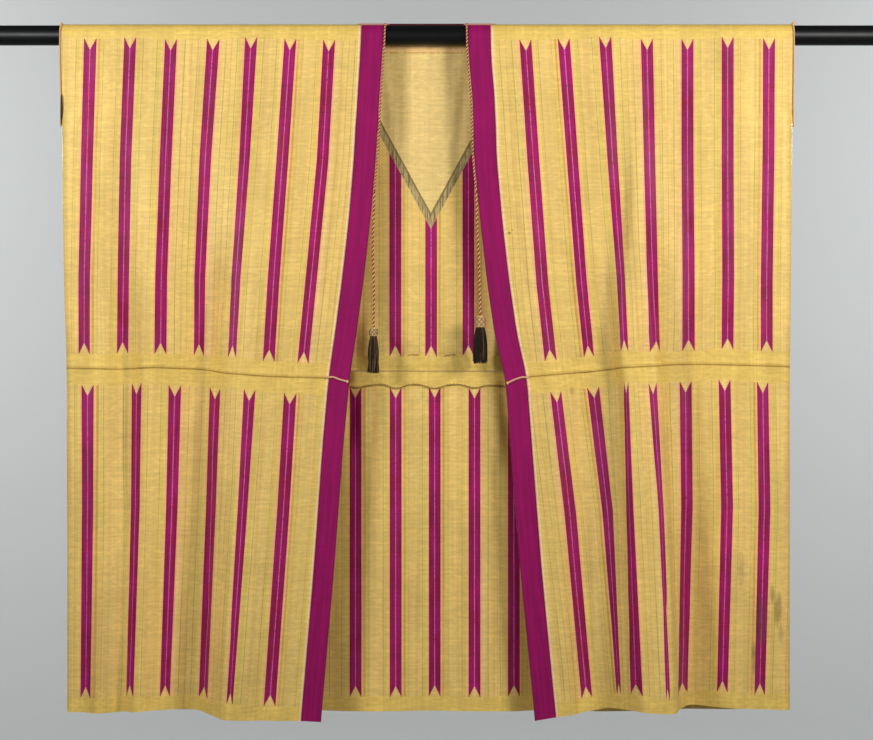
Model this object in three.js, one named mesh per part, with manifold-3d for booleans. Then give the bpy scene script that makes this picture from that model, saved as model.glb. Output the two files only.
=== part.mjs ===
// Aba cloak: a wide, straight-cut robe of striped silk that hangs by its shoulders on a round
// display rod. Two loom widths of silk, an upper and a lower one, go round from front edge to
// front edge and are joined by a waist seam. Both fronts fold in at the sides, where the upper
// width is left open as arm slits, and both front edges carry a band of plain magenta silk.
//
// Millimetres. +X is the viewer's right, +Z is up and the fronts face -Y. The origin is on the
// rod's axis, midway between the front openings. "drop" is a depth below that axis, "u" is a
// distance along the cloth from its side fold, and "v" a distance down it from the shoulder line.

import * as THREE from 'three';
import { mergeVertices } from 'three/addons/utils/BufferGeometryUtils.js';
import Module from 'manifold-3d';

const wasm = await Module();
wasm.setup();

// ---- driving dimensions ----

const ROD_RADIUS = 18;
const ROD_LENGTH = 1650;
const ROD_SIDES = 32;

const CLOTH = 1.5; // wall of the striped silk
const TRIM = 1; // wall of the bands and seam allowances
const GAP = 0.3; // clearance between neighbouring pieces

const DRAPE_RADIUS = ROD_RADIUS + 1.5; // middle of the cloth where it lies over the rod
const SHOULDER_ARC = DRAPE_RADIUS * Math.PI / 2; // cloth from the shoulder line to axis height

const FRONT_CLOTH = 583; // each front, from side fold to opening edge
const BACK_CLOTH = 1345; // the back, from side fold to side fold
const BAND = 40; // width of the magenta band
const FOLD_SOFTNESS = 10; // half the cloth over which a flank turns

const SLIT_CLOSING = { from: 118, to: 172 }; // drops between which an arm slit narrows and ends
const FOLDS_START = 130; // drop at which the fronts' folds begin to show
const WAIST = 600; // mean drop of the waist seam
const HEM = 1216; // mean drop of the hem
const LEAN = THREE.MathUtils.degToRad(3); // forward slope of the fronts at the hem

const NECK = { left: -79, right: 72, turn: 20, scoop: 6 }; // back neck edge, scooped off the top
const NECK_BAND = { left: -116, right: 112, height: 52 };
const ALLOWANCE = 28; // height of each turned edge of the waist seam
const NECK_CORD = { radius: 1.9, drop: 283, steps: 88, proud: 0.4 };
const TIE_CORD = { radius: 2.25, sides: 8, step: 12 };
const WAIST_CORD = { radius: 1.6, below: 2, overhang: 5, steps: 10 };
const ARM_CORD = { radius: 1.2, end: 162, steps: 42 };
const SEWN_CORD_SIDES = 6;

// How many stretches each length is cut into.
const FRONT_COLUMN_COUNTS = { silk: 28, band: 2 };
const BACK_COLUMN_COUNTS = { side: 12, turn: 2, neck: 3 };
const NECK_BAND_COUNTS = { rows: 9, ends: 2 };
const NECK_CORD_COUNTS = { edge: 9, shoulder: 5, neck: 6 };
const ARM_CORD_COUNTS = { shoulder: 5, slit: 8 };
const WAIST_CORD_COUNT = 5;

const FINISH = {
  silk: { roughness: 0.6, metalness: 0 },
  thread: { roughness: 0.8, metalness: 0 },
  rod: { roughness: 0.35, metalness: 0.4 },
};

const COLOURS = {
  yellow: 0xdfc07a,
  yellowLining: 0xcdb274,
  magenta: 0x8e1c63,
  twist: 0xb5604c,
  cream: 0xd9bfa0,
  brown: 0x3b2a24,
  black: 0x161618,
};

// ---- the cloak's outline and folds ----

// Side folds and front edges: x at each drop.
const OUTLINE = [
  { drop: -20, leftSide: -660, leftEdge: -79, rightEdge: 72, rightSide: 657 },
  { drop: 43, leftSide: -661, leftEdge: -82, rightEdge: 73, rightSide: 657 },
  { drop: 115, leftSide: -659, leftEdge: -87, rightEdge: 80, rightSide: 656 },
  { drop: 223, leftSide: -658, leftEdge: -93, rightEdge: 83, rightSide: 655 },
  { drop: 331, leftSide: -657, leftEdge: -102, rightEdge: 93, rightSide: 654 },
  { drop: 439, leftSide: -655, leftEdge: -114, rightEdge: 105, rightSide: 653 },
  { drop: 538, leftSide: -652, leftEdge: -127, rightEdge: 119, rightSide: 652 },
  { drop: 615, leftSide: -650, leftEdge: -139, rightEdge: 138, rightSide: 651 },
  { drop: 745, leftSide: -650, leftEdge: -151, rightEdge: 148, rightSide: 651 },
  { drop: 961, leftSide: -649, leftEdge: -167, rightEdge: 165, rightSide: 651 },
  { drop: 1240, leftSide: -649, leftEdge: -191, rightEdge: 192, rightSide: 651 },
];

// Half the thickness of the hanging cloak at its side folds.
const HALF_DEPTH = [
  { drop: 0, half: DRAPE_RADIUS },
  { drop: 170, half: 19 },
  { drop: 600, half: 15 },
  { drop: 1240, half: 14 },
];

// Flanks of the standing folds: the cloth between two distances from the side fold turns by an
// angle, in degrees at the waist and at the hem, towards the viewer where it is positive. A flank
// with a climb starts that much nearer to the side fold at the chest.
const LEFT_FLANKS = [
  { from: 45, to: 80, waist: 4, hem: 30 },
  { from: 80, to: 125, waist: -10, hem: -34 },
  { from: 135, to: 170, waist: 46, hem: 50 },
  { from: 185, to: 270, waist: -14, hem: -24 },
  { from: 292, to: 350, waist: 46, hem: 44 },
  { from: 350, to: 392, waist: 8, hem: 46 },
  { from: 400, to: 470, waist: -16, hem: -24 },
  { from: 482, to: 545, waist: -14, hem: -16 },
];
const RIGHT_FLANKS = [
  { from: 125, to: 185, waist: -4, hem: -10 },
  { from: 200, to: 238, waist: 15, hem: 58 },
  { from: 238, to: 284, waist: 62, hem: 74 },
  { from: 343, to: 387, waist: -66, hem: -55, climb: 56 },
  { from: 387, to: 450, waist: -10, hem: -52, climb: 56 },
  { from: 462, to: 500, waist: 5, hem: 30 },
  { from: 510, to: 548, waist: -8, hem: -12 },
];

// Softer folds of the back, away from the viewer where the angle is positive.
const BACK_FLANKS = [
  { from: 130, to: 195, waist: 7, hem: 18 },
  { from: 235, to: 310, waist: -6, hem: -15 },
  { from: 400, to: 450, waist: 8, hem: 14 },
  { from: 470, to: 530, waist: -7, hem: -12 },
  { from: 610, to: 660, waist: 4, hem: 9 },
  { from: 690, to: 750, waist: -3, hem: -8 },
  { from: 830, to: 890, waist: 9, hem: 19 },
  { from: 925, to: 985, waist: -8, hem: -19 },
  { from: 1080, to: 1130, waist: 10, hem: 16 },
  { from: 1160, to: 1225, waist: -8, hem: -12 },
];

// Drops of the waist seam and of the hem along each front and along the back.
const LEFT_LEVELS = [
  { u: 0, waist: 599, hem: 1216 },
  { u: 110, waist: 601, hem: 1216 },
  { u: 190, waist: 598, hem: 1211 },
  { u: 272, waist: 601, hem: 1210 },
  { u: 345, waist: 608, hem: 1216 },
  { u: 430, waist: 614, hem: 1222 },
  { u: FRONT_CLOTH, waist: 618, hem: 1228 },
];
const RIGHT_LEVELS = [
  { u: 0, waist: 597, hem: 1213 },
  { u: 110, waist: 593.5, hem: 1209 },
  { u: 190, waist: 592, hem: 1203 },
  { u: 300, waist: 596, hem: 1208 },
  { u: 360, waist: 599, hem: 1204 },
  { u: 430, waist: 606, hem: 1206 },
  { u: FRONT_CLOTH, waist: 618, hem: 1229 },
];
const BACK_LEVELS = [
  { u: 0, waist: 599, hem: 1216 },
  { u: 300, waist: 604, hem: 1219 },
  { u: 1000, waist: 605, hem: 1219 },
  { u: BACK_CLOTH, waist: 597, hem: 1213 },
];

// Shares of the way down each width of silk at which its wall has a row of points.
const SHOULDER_ROWS = 5;
const UPPER_ROWS = [0.09, 0.19, 0.245, 0.29, 0.4, 0.54, 0.69, 0.85, 1];
const LOWER_ROWS = [0, 0.25, 0.5, 0.75, 1];

// Free ends of the neck cord: places along each tie, then its tassel's size.
const TIES = {
  left: {
    route: [
      { drop: 283.6, x: -95.6, forward: 0 },
      { drop: 310, x: -96.2, forward: 0.6 },
      { drop: 345, x: -97.6, forward: 1.4 },
      { drop: 385, x: -98.3, forward: 0.9 },
      { drop: 425, x: -97.4, forward: 0.2 },
      { drop: 465, x: -96.6, forward: 0.6 },
      { drop: 500, x: -97, forward: 1.2 },
      { drop: 526, x: -97.2, forward: 1.2 },
    ],
    head: { radius: 7.3, height: 15.3 },
    skirt: { radius: 10.2, length: 67.5 },
  },
  right: {
    route: [
      { drop: 283.6, x: 86.1, forward: 0 },
      { drop: 312, x: 87.6, forward: 0.7 },
      { drop: 345, x: 88.3, forward: 1.3 },
      { drop: 380, x: 89.9, forward: 0.8 },
      { drop: 415, x: 91.6, forward: 0.3 },
      { drop: 450, x: 92.2, forward: 0.8 },
      { drop: 480, x: 93.1, forward: 1.3 },
      { drop: 504, x: 93.6, forward: 1.4 },
    ],
    head: { radius: 9.6, height: 21.6 },
    skirt: { radius: 14.2, length: 66.5 },
  },
};

// Rings of strands in a tassel, as shares of its head's and its skirt's radius.
const STRAND_RINGS = [
  { strands: 5, root: 0.23, tip: 0.28 },
  { strands: 10, root: 0.5, tip: 0.58 },
  { strands: 15, root: 0.76, tip: 0.89 },
];
const STRAND = { share: 0.11, sides: 3, stretches: 2 }; // its radius is a share of the head's
const ROOT_DEPTH = 3; // how far the strands reach up into the head

// A tassel's head from its top: shares of its radius and of its height.
const HEAD_PROFILE = [
  { across: 0, down: 0 },
  { across: 0.45, down: 0 },
  { across: 0.86, down: 0.16 },
  { across: 1, down: 0.42 },
  { across: 0.94, down: 0.72 },
  { across: 0.86, down: 1 },
  { across: 0, down: 1 },
];
const HEAD_SIDES = 14;

// ---- helpers for tables and grids ----

const { clamp, lerp, smoothstep, degToRad } = THREE.MathUtils;

function lookUp(table, key, at, column) {
  const found = table.findIndex((row) => row[key] >= at);
  const next = found < 0 ? table.length - 1 : Math.max(found, 1);
  const low = table[next - 1];
  const high = table[next];
  const share = clamp((at - low[key]) / (high[key] - low[key]), 0, 1);
  return lerp(low[column], high[column], share);
}

function spread(from, to, intervals) {
  return Array.from({ length: intervals + 1 }, (_, index) => lerp(from, to, index / intervals));
}

function joined(...lists) {
  return [...new Set(lists.flat())];
}

// ---- the surface of the cloth ----

// How far the side folds have closed: 0 beside the arm slits, 1 below them.
function closingAt(drop) {
  return smoothstep(drop, SLIT_CLOSING.from, SLIT_CLOSING.to);
}

// Slope of the quarter turn that brings the cloth round from a side fold.
function rollSlope(u, drop) {
  const length = lookUp(HALF_DEPTH, 'drop', drop, 'half') * Math.PI / 2;
  return closingAt(drop) * (Math.PI / 2) * Math.max(0, 1 - u / length);
}

// Distance of the cloth's side edge from the plane between the fronts and the back.
function edgeDepth(drop) {
  const half = lookUp(HALF_DEPTH, 'drop', drop, 'half');
  const closing = closingAt(drop);
  if (closing === 0) return half;
  return half * (1 - (1 - Math.cos(closing * Math.PI / 2)) / closing) + GAP / 2;
}

// Slope given by a table of flanks: it grows from the chest to the waist and on to the hem.
function flankSlope(flanks, u, drop) {
  const growth = smoothstep(drop, FOLDS_START, WAIST);
  const below = clamp((drop - WAIST) / (HEM - WAIST), 0, 1);
  let slope = 0;
  for (const { from, to, waist, hem, climb = 0 } of flanks) {
    const place = u + climb * (1 - growth);
    const start = smoothstep(place, from - FOLD_SOFTNESS, from + FOLD_SOFTNESS);
    const end = smoothstep(place, to - FOLD_SOFTNESS, to + FOLD_SOFTNESS);
    slope += degToRad(lerp(waist, hem, below)) * growth * start * (1 - end);
  }
  return slope;
}

// Run across and rise out of a strip of cloth, added up in short steps of its slope.
const STRIP_STEP = 5;
const PATH_END = 1e-9; // keeps a strip's far edge inside its last step
const stripCache = new Map();

function stripAt(name, width, slopeAt, u, drop) {
  const key = `${name} ${drop.toFixed(3)}`;
  if (!stripCache.has(key)) {
    const steps = Math.ceil(width / STRIP_STEP);
    const path = [{ run: 0, rise: 0 }];
    for (let step = 0; step < steps; step += 1) {
      const slope = slopeAt(((step + 0.5) * width) / steps, drop);
      const last = path[step];
      const length = width / steps;
      path.push({
        run: last.run + Math.cos(slope) * length,
        rise: last.rise + Math.sin(slope) * length,
      });
    }
    stripCache.set(key, path);
  }
  const path = stripCache.get(key);
  const place = clamp((u / width) * (path.length - 1), 0, path.length - 1 - PATH_END);
  const low = path[Math.floor(place)];
  const high = path[Math.floor(place) + 1];
  const share = place - Math.floor(place);
  const total = path[path.length - 1];
  return {
    run: lerp(low.run, high.run, share) / total.run,
    rise: lerp(low.rise, high.rise, share),
    totalRise: total.rise,
  };
}

// A surface gives, for u and v, the middle of the cloth. facing is -1 for a front, 1 for the back,
// and outward says on which side of the surface's own normal its outside lies.
function drapedPoint(u, v, facing, across) {
  if (v < SHOULDER_ARC) {
    const turn = Math.PI / 2 - v / DRAPE_RADIUS;
    const height = DRAPE_RADIUS * Math.sin(turn);
    const depth = facing * DRAPE_RADIUS * Math.cos(turn);
    return new THREE.Vector3(across(u, -height).x, depth, height);
  }
  const drop = v - SHOULDER_ARC;
  const place = across(u, drop);
  return new THREE.Vector3(place.x, facing * place.depth, -drop);
}

function makeFront(name, sideColumn, edgeColumn, flanks, levels) {
  const slopeAt = (u, drop) => rollSlope(u, drop)
    + flankSlope(flanks, u, drop) + LEAN * clamp(drop / HEM, 0, 1);
  const across = (u, drop) => {
    const strip = stripAt(name, FRONT_CLOTH, slopeAt, u, drop);
    const side = lookUp(OUTLINE, 'drop', drop, sideColumn);
    const edge = lookUp(OUTLINE, 'drop', drop, edgeColumn);
    return { x: lerp(side, edge, strip.run), depth: edgeDepth(drop) + strip.rise };
  };
  return {
    facing: -1,
    outward: name === 'left' ? -1 : 1,
    levels,
    width: FRONT_CLOTH,
    point: (u, v) => drapedPoint(u, v, -1, across),
  };
}

function makeBack() {
  const slopeAt = (u, drop) => rollSlope(u, drop) - rollSlope(BACK_CLOTH - u, drop)
    + flankSlope(BACK_FLANKS, u, drop);
  const across = (u, drop) => {
    const strip = stripAt('back', BACK_CLOTH, slopeAt, u, drop);
    const left = lookUp(OUTLINE, 'drop', drop, 'leftSide');
    const right = lookUp(OUTLINE, 'drop', drop, 'rightSide');
    const rise = strip.rise - strip.totalRise * (u / BACK_CLOTH);
    return { x: lerp(left, right, strip.run), depth: edgeDepth(drop) + rise };
  };
  return {
    facing: 1,
    outward: 1,
    levels: BACK_LEVELS,
    width: BACK_CLOTH,
    point: (u, v) => drapedPoint(u, v, 1, across),
  };
}

// The point of a surface moved out along its normal, away from the wearer.
const NORMAL_STEP = 0.5;

function outset(surface, u, v, distance) {
  const low = clamp(u, 0, surface.width - NORMAL_STEP);
  const point = surface.point(u, v);
  const along = surface.point(low + NORMAL_STEP, v).sub(surface.point(low, v));
  const down = surface.point(u, v + NORMAL_STEP).sub(point);
  const normal = along.cross(down).normalize();
  return point.addScaledVector(normal, surface.outward * distance);
}

// ---- walls and tubes ----

// A closed wall over a grid of columns and rows: place(column, row, offset) is a point of it.
function wallGeometry(columns, rows, place, middle, thickness) {
  const positions = [];
  for (const layer of [middle + thickness / 2, middle - thickness / 2]) {
    for (const row of rows) {
      for (const column of columns) {
        positions.push(...place(column, row, layer).toArray());
      }
    }
  }
  const width = columns.length;
  const height = rows.length;
  const layerSize = width * height;
  const faces = [];
  const quad = (a, b, c, d) => faces.push(a, b, c, a, c, d);
  for (let row = 0; row + 1 < height; row += 1) {
    for (let column = 0; column + 1 < width; column += 1) {
      const corner = row * width + column;
      quad(corner, corner + width, corner + width + 1, corner + 1);
      const inner = corner + layerSize;
      quad(inner, inner + 1, inner + width + 1, inner + width);
    }
  }
  const rim = [];
  for (let column = 0; column + 1 < width; column += 1) rim.push(column);
  for (let row = 0; row + 1 < height; row += 1) rim.push(row * width + width - 1);
  for (let column = width - 1; column > 0; column -= 1) rim.push((height - 1) * width + column);
  for (let row = height - 1; row > 0; row -= 1) rim.push(row * width);
  rim.forEach((from, index) => {
    const to = rim[(index + 1) % rim.length];
    quad(from, to, to + layerSize, from + layerSize);
  });
  const geometry = new THREE.BufferGeometry();
  geometry.setAttribute('position', new THREE.Float32BufferAttribute(positions, 3));
  geometry.setIndex(faces);
  return facedOut(geometry);
}

// Turns a closed surface's triangles over if they face inward.
function facedOut(geometry) {
  const index = geometry.getIndex();
  const position = geometry.getAttribute('position');
  const corner = (place) => new THREE.Vector3().fromBufferAttribute(position, index.getX(place));
  let volume = 0;
  for (let place = 0; place < index.count; place += 3) {
    volume += corner(place).dot(corner(place + 1).cross(corner(place + 2)));
  }
  if (volume < 0) {
    for (let place = 0; place < index.count; place += 3) {
      const first = index.getX(place);
      index.setX(place, index.getX(place + 1));
      index.setX(place + 1, first);
    }
  }
  return geometry;
}

function tubeGeometry(points, radius, sides, steps) {
  const section = new THREE.Shape(
    spread(0, Math.PI * 2, sides).slice(0, sides)
      .map((turn) => new THREE.Vector2(radius * Math.cos(turn), radius * Math.sin(turn))),
  );
  const extrudePath = new THREE.CatmullRomCurve3(points, false, 'centripetal');
  return new THREE.ExtrudeGeometry(section, { extrudePath, steps, bevelEnabled: false });
}

const MERGE_DISTANCE = 1e-4;

function solidOf(geometry) {
  const bare = geometry.clone();
  bare.deleteAttribute('normal');
  bare.deleteAttribute('uv');
  const merged = mergeVertices(bare, MERGE_DISTANCE);
  return new wasm.Manifold(new wasm.Mesh({
    numProp: 3,
    vertProperties: new Float32Array(merged.getAttribute('position').array),
    triVerts: new Uint32Array(merged.getIndex().array),
  }));
}

function geometryOf(solid) {
  const { vertProperties, triVerts } = solid.getMesh();
  const geometry = new THREE.BufferGeometry();
  geometry.setAttribute('position', new THREE.Float32BufferAttribute(vertProperties, 3));
  geometry.setIndex(Array.from(triVerts));
  return geometry;
}

// ---- the pieces ----

const cloak = new THREE.Group();

function addPiece(name, geometry, color, finish = FINISH.silk) {
  const material = new THREE.MeshStandardMaterial({ color, ...finish });
  const mesh = new THREE.Mesh(geometry, material);
  mesh.name = name;
  cloak.add(mesh);
  return mesh;
}

const fronts = {
  left: makeFront('left', 'leftSide', 'leftEdge', LEFT_FLANKS, LEFT_LEVELS),
  right: makeFront('right', 'rightSide', 'rightEdge', RIGHT_FLANKS, RIGHT_LEVELS),
};
const back = makeBack();

const FRONT_COLUMNS = joined(
  spread(0, FRONT_CLOTH - BAND, FRONT_COLUMN_COUNTS.silk),
  spread(FRONT_CLOTH - BAND, FRONT_CLOTH, FRONT_COLUMN_COUNTS.band),
);
const neckStart = NECK.left - OUTLINE[0].leftSide;
const neckEnd = BACK_CLOTH - (OUTLINE[0].rightSide - NECK.right);
const BACK_COLUMNS = joined(
  spread(0, neckStart, BACK_COLUMN_COUNTS.side),
  spread(neckStart, neckStart + NECK.turn, BACK_COLUMN_COUNTS.turn),
  spread(neckStart + NECK.turn, neckEnd - NECK.turn, BACK_COLUMN_COUNTS.neck),
  spread(neckEnd - NECK.turn, neckEnd, BACK_COLUMN_COUNTS.turn),
  spread(neckEnd, BACK_CLOTH, BACK_COLUMN_COUNTS.side),
);

// v of the top edge: the shoulder line, or the neck's scoop on the back.
function topEdge(surface, u) {
  if (surface.facing < 0) return GAP / 2;
  const into = smoothstep(u, neckStart, neckStart + NECK.turn);
  const outOf = smoothstep(u, neckEnd - NECK.turn, neckEnd);
  return GAP / 2 + NECK.scoop * into * (1 - outOf);
}

function waistEdge(surface, u) {
  return SHOULDER_ARC + lookUp(surface.levels, 'u', u, 'waist');
}

function hemEdge(surface, u) {
  return SHOULDER_ARC + lookUp(surface.levels, 'u', u, 'hem');
}

// Rows of the upper silk count down the shoulder's arc first, and then to the waist seam.
function upperRow(surface, u, row) {
  if (row < SHOULDER_ROWS) return lerp(topEdge(surface, u), SHOULDER_ARC, row / SHOULDER_ROWS);
  const share = row === SHOULDER_ROWS ? 0 : UPPER_ROWS[row - SHOULDER_ROWS - 1];
  return lerp(SHOULDER_ARC, waistEdge(surface, u) - GAP / 2, share);
}

function lowerRow(surface, u, row) {
  return lerp(waistEdge(surface, u) + GAP / 2, hemEdge(surface, u), LOWER_ROWS[row]);
}

function rowNumbers(count) {
  return spread(0, count - 1, count - 1);
}

const upperRows = rowNumbers(SHOULDER_ROWS + UPPER_ROWS.length + 1);
const lowerRows = rowNumbers(LOWER_ROWS.length);

function addPanel(name, surface, columns, rows, rowAt, color, middle = 0, thickness = CLOTH) {
  const place = (u, row, offset) => outset(surface, u, rowAt(surface, u, row), offset);
  return addPiece(name, wallGeometry(columns, rows, place, middle, thickness), color);
}

function addSilk() {
  for (const [side, surface] of Object.entries(fronts)) {
    addPanel(`front_${side}_upper`, surface, FRONT_COLUMNS, upperRows, upperRow, COLOURS.yellow);
    addPanel(`front_${side}_lower`, surface, FRONT_COLUMNS, lowerRows, lowerRow, COLOURS.yellow);
  }
  addPanel('back_upper', back, BACK_COLUMNS, upperRows, upperRow, COLOURS.yellowLining);
  addPanel('back_lower', back, BACK_COLUMNS, lowerRows, lowerRow, COLOURS.yellowLining);
}

// The bands lie on the outside of the fronts and of the back of the neck.
const bandMiddle = CLOTH / 2 + GAP + TRIM / 2;

function addBands() {
  const columns = spread(FRONT_CLOTH - BAND, FRONT_CLOTH, FRONT_COLUMN_COUNTS.band);
  const rows = rowNumbers(upperRows.length + lowerRows.length);
  const rowAt = (surface, u, row) => (row < upperRows.length
    ? upperRow(surface, u, row) : lowerRow(surface, u, row - upperRows.length));
  for (const [side, surface] of Object.entries(fronts)) {
    addPanel(`band_${side}`, surface, columns, rows, rowAt, COLOURS.magenta, bandMiddle, TRIM);
  }
  const neckColumns = joined(
    spread(neckStart + NECK_BAND.left - NECK.left, neckStart, NECK_BAND_COUNTS.ends),
    BACK_COLUMNS.filter((u) => u >= neckStart && u <= neckEnd),
    spread(neckEnd, neckEnd + NECK_BAND.right - NECK.right, NECK_BAND_COUNTS.ends),
  );
  const neckRows = spread(0, 1, NECK_BAND_COUNTS.rows);
  const neckRow = (surface, u, share) => lerp(topEdge(surface, u), NECK_BAND.height, share);
  const neckMiddle = bandMiddle + GAP;
  addPanel('neck_band', back, neckColumns, neckRows, neckRow, COLOURS.magenta, neckMiddle, TRIM);
}

// The waist seam's two turned edges, pressed open on the inside of the back.
function addAllowances() {
  const inside = -(CLOTH / 2 + GAP + TRIM / 2);
  const columns = BACK_COLUMNS.slice(1, -1);
  const edges = { up: [-ALLOWANCE, -GAP / 2], down: [GAP / 2, ALLOWANCE] };
  for (const [way, [top, bottom]] of Object.entries(edges)) {
    const rowAt = (surface, u, row) => waistEdge(surface, u) + lerp(top, bottom, row);
    addPanel(`allowance_${way}`, back, columns, [0, 1], rowAt, COLOURS.yellowLining, inside, TRIM);
  }
}

// The neck cord runs up one front edge, over the rod, along the back of the neck and down again.
const cordOutset = NECK_CORD.radius + GAP - (DRAPE_RADIUS - ROD_RADIUS) + NECK_CORD.proud;
const cordBeside = NECK_CORD.radius + 2 * GAP;

function besideEdge(surface, v) {
  const edge = outset(surface, FRONT_CLOTH, v, cordOutset);
  const inward = surface.point(FRONT_CLOTH, v).sub(surface.point(FRONT_CLOTH - 1, v)).normalize();
  return edge.addScaledVector(inward, cordBeside);
}

function addNeckCord() {
  const up = (surface) => [
    ...spread(SHOULDER_ARC + NECK_CORD.drop, SHOULDER_ARC, NECK_CORD_COUNTS.edge),
    ...spread(SHOULDER_ARC, 0, NECK_CORD_COUNTS.shoulder).slice(1),
  ].map((v) => besideEdge(surface, v));
  const behind = spread(neckStart + NECK.turn, neckEnd - NECK.turn, NECK_CORD_COUNTS.neck)
    .map((u) => outset(back, u, topEdge(back, u) - cordBeside, cordOutset));
  const points = [...up(fronts.left), ...behind, ...up(fronts.right).reverse()];
  const geometry = tubeGeometry(points, NECK_CORD.radius, SEWN_CORD_SIDES, NECK_CORD.steps);
  addPiece('neck_cord', geometry, COLOURS.twist, FINISH.thread);
}

// A short cord lies across each band at the waist seam.
function addWaistCords() {
  const out = bandMiddle + TRIM / 2 + GAP + WAIST_CORD.radius;
  for (const [side, surface] of Object.entries(fronts)) {
    const points = spread(FRONT_CLOTH - BAND, FRONT_CLOTH - WAIST_CORD.overhang, WAIST_CORD_COUNT)
      .map((u) => outset(surface, u, waistEdge(surface, u) + WAIST_CORD.below, out));
    const geometry = tubeGeometry(points, WAIST_CORD.radius, SEWN_CORD_SIDES, WAIST_CORD.steps);
    addPiece(`waist_cord_${side}`, geometry, COLOURS.cream, FINISH.thread);
  }
}

// Each arm slit is edged by one cord, down the front edge and up the back edge.
function addArmCords() {
  const out = CLOTH / 2 + 3 * GAP + ARM_CORD.radius;
  const drops = [
    ...spread(GAP / 2, SHOULDER_ARC, ARM_CORD_COUNTS.shoulder),
    ...spread(SHOULDER_ARC, SHOULDER_ARC + ARM_CORD.end, ARM_CORD_COUNTS.slit).slice(1),
  ];
  for (const [side, surface] of Object.entries(fronts)) {
    const backEdge = side === 'left' ? ARM_CORD.radius : BACK_CLOTH - ARM_CORD.radius;
    const frontPoints = drops.map((v) => outset(surface, ARM_CORD.radius, v, out));
    const backPoints = drops.map((v) => outset(back, backEdge, v, out)).reverse();
    const points = [...frontPoints, ...backPoints];
    const geometry = tubeGeometry(points, ARM_CORD.radius, SEWN_CORD_SIDES, ARM_CORD.steps);
    addPiece(`arm_cord_${side}`, geometry, COLOURS.cream, FINISH.thread);
  }
}

// A tassel: a bound head with rings of strands fused into its underside.
function tasselGeometry({ head, skirt }) {
  const radius = head.radius;
  const profile = HEAD_PROFILE
    .map(({ across, down }) => new THREE.Vector2(radius * across, -head.height * down));
  const lathe = new THREE.LatheGeometry(profile.reverse(), HEAD_SIDES);
  lathe.rotateX(Math.PI / 2);
  let solid = solidOf(lathe);
  for (const { strands, root, tip } of STRAND_RINGS) {
    for (const turn of spread(0, Math.PI * 2, strands).slice(0, strands)) {
      const length = skirt.length + ROOT_DEPTH;
      const width = radius * STRAND.share;
      const strand = new THREE.CylinderGeometry(width, width, length, STRAND.sides, STRAND.stretches);
      strand.rotateX(Math.PI / 2);
      const position = strand.getAttribute('position');
      for (let index = 0; index < position.count; index += 1) {
        const down = 0.5 - position.getZ(index) / length;
        const ring = lerp(radius * root, skirt.radius * tip, smoothstep(down, 0, 1));
        position.setX(index, position.getX(index) + ring * Math.cos(turn));
        position.setY(index, position.getY(index) + ring * Math.sin(turn));
      }
      strand.translate(0, 0, -head.height + ROOT_DEPTH - length / 2);
      solid = solid.add(solidOf(strand));
    }
  }
  return geometryOf(solid);
}

function addTies() {
  for (const [side, tie] of Object.entries(TIES)) {
    const exit = besideEdge(fronts[side], SHOULDER_ARC + NECK_CORD.drop);
    const points = tie.route
      .map(({ drop, x, forward }) => new THREE.Vector3(x, exit.y - forward, -drop));
    const steps = Math.round((tie.route.at(-1).drop - NECK_CORD.drop) / TIE_CORD.step);
    const geometry = tubeGeometry(points, TIE_CORD.radius, TIE_CORD.sides, steps);
    addPiece(`tie_cord_${side}`, geometry, COLOURS.twist, FINISH.thread);
    const tassel = addPiece(`tassel_${side}`, tasselGeometry(tie), COLOURS.brown, FINISH.thread);
    tassel.position.copy(points.at(-1));
    tassel.position.z -= GAP;
  }
}

function addRod() {
  const geometry = new THREE.CylinderGeometry(ROD_RADIUS, ROD_RADIUS, ROD_LENGTH, ROD_SIDES);
  const rod = addPiece('rod', geometry, COLOURS.black, FINISH.rod);
  rod.rotation.z = Math.PI / 2;
}

addRod();
addSilk();
addBands();
addAllowances();
addNeckCord();
addWaistCords();
addArmCords();
addTies();

export default cloak;
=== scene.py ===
"""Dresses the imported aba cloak: striped silk on a display rod, with bands, cords, ties and tassels.

The tables are in millimetres, as measured on the garment, and meshes are made in metres.
u runs along the cloth from its side fold, v runs down it from the shoulder line on top of the rod,
and a drop is a depth below the rod's axis. The fronts face -Y. Left and right are the viewer's.
"""

import math

import bpy
import numpy as np
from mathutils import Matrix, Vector


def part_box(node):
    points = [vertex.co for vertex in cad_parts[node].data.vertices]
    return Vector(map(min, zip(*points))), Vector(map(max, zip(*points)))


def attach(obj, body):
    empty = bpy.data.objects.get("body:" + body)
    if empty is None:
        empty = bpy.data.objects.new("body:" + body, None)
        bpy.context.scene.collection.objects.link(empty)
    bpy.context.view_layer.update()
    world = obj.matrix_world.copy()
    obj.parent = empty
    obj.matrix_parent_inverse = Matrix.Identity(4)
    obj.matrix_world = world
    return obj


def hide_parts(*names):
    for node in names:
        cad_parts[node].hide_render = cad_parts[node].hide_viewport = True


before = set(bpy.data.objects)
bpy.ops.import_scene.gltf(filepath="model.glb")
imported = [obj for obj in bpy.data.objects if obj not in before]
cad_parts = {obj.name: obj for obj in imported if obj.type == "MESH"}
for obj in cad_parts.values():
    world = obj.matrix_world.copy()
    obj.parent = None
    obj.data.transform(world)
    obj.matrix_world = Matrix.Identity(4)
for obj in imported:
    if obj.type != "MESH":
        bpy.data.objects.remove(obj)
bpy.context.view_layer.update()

MM = 0.001

# ---- sizes shared with the CAD model, in millimetres ----

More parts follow.
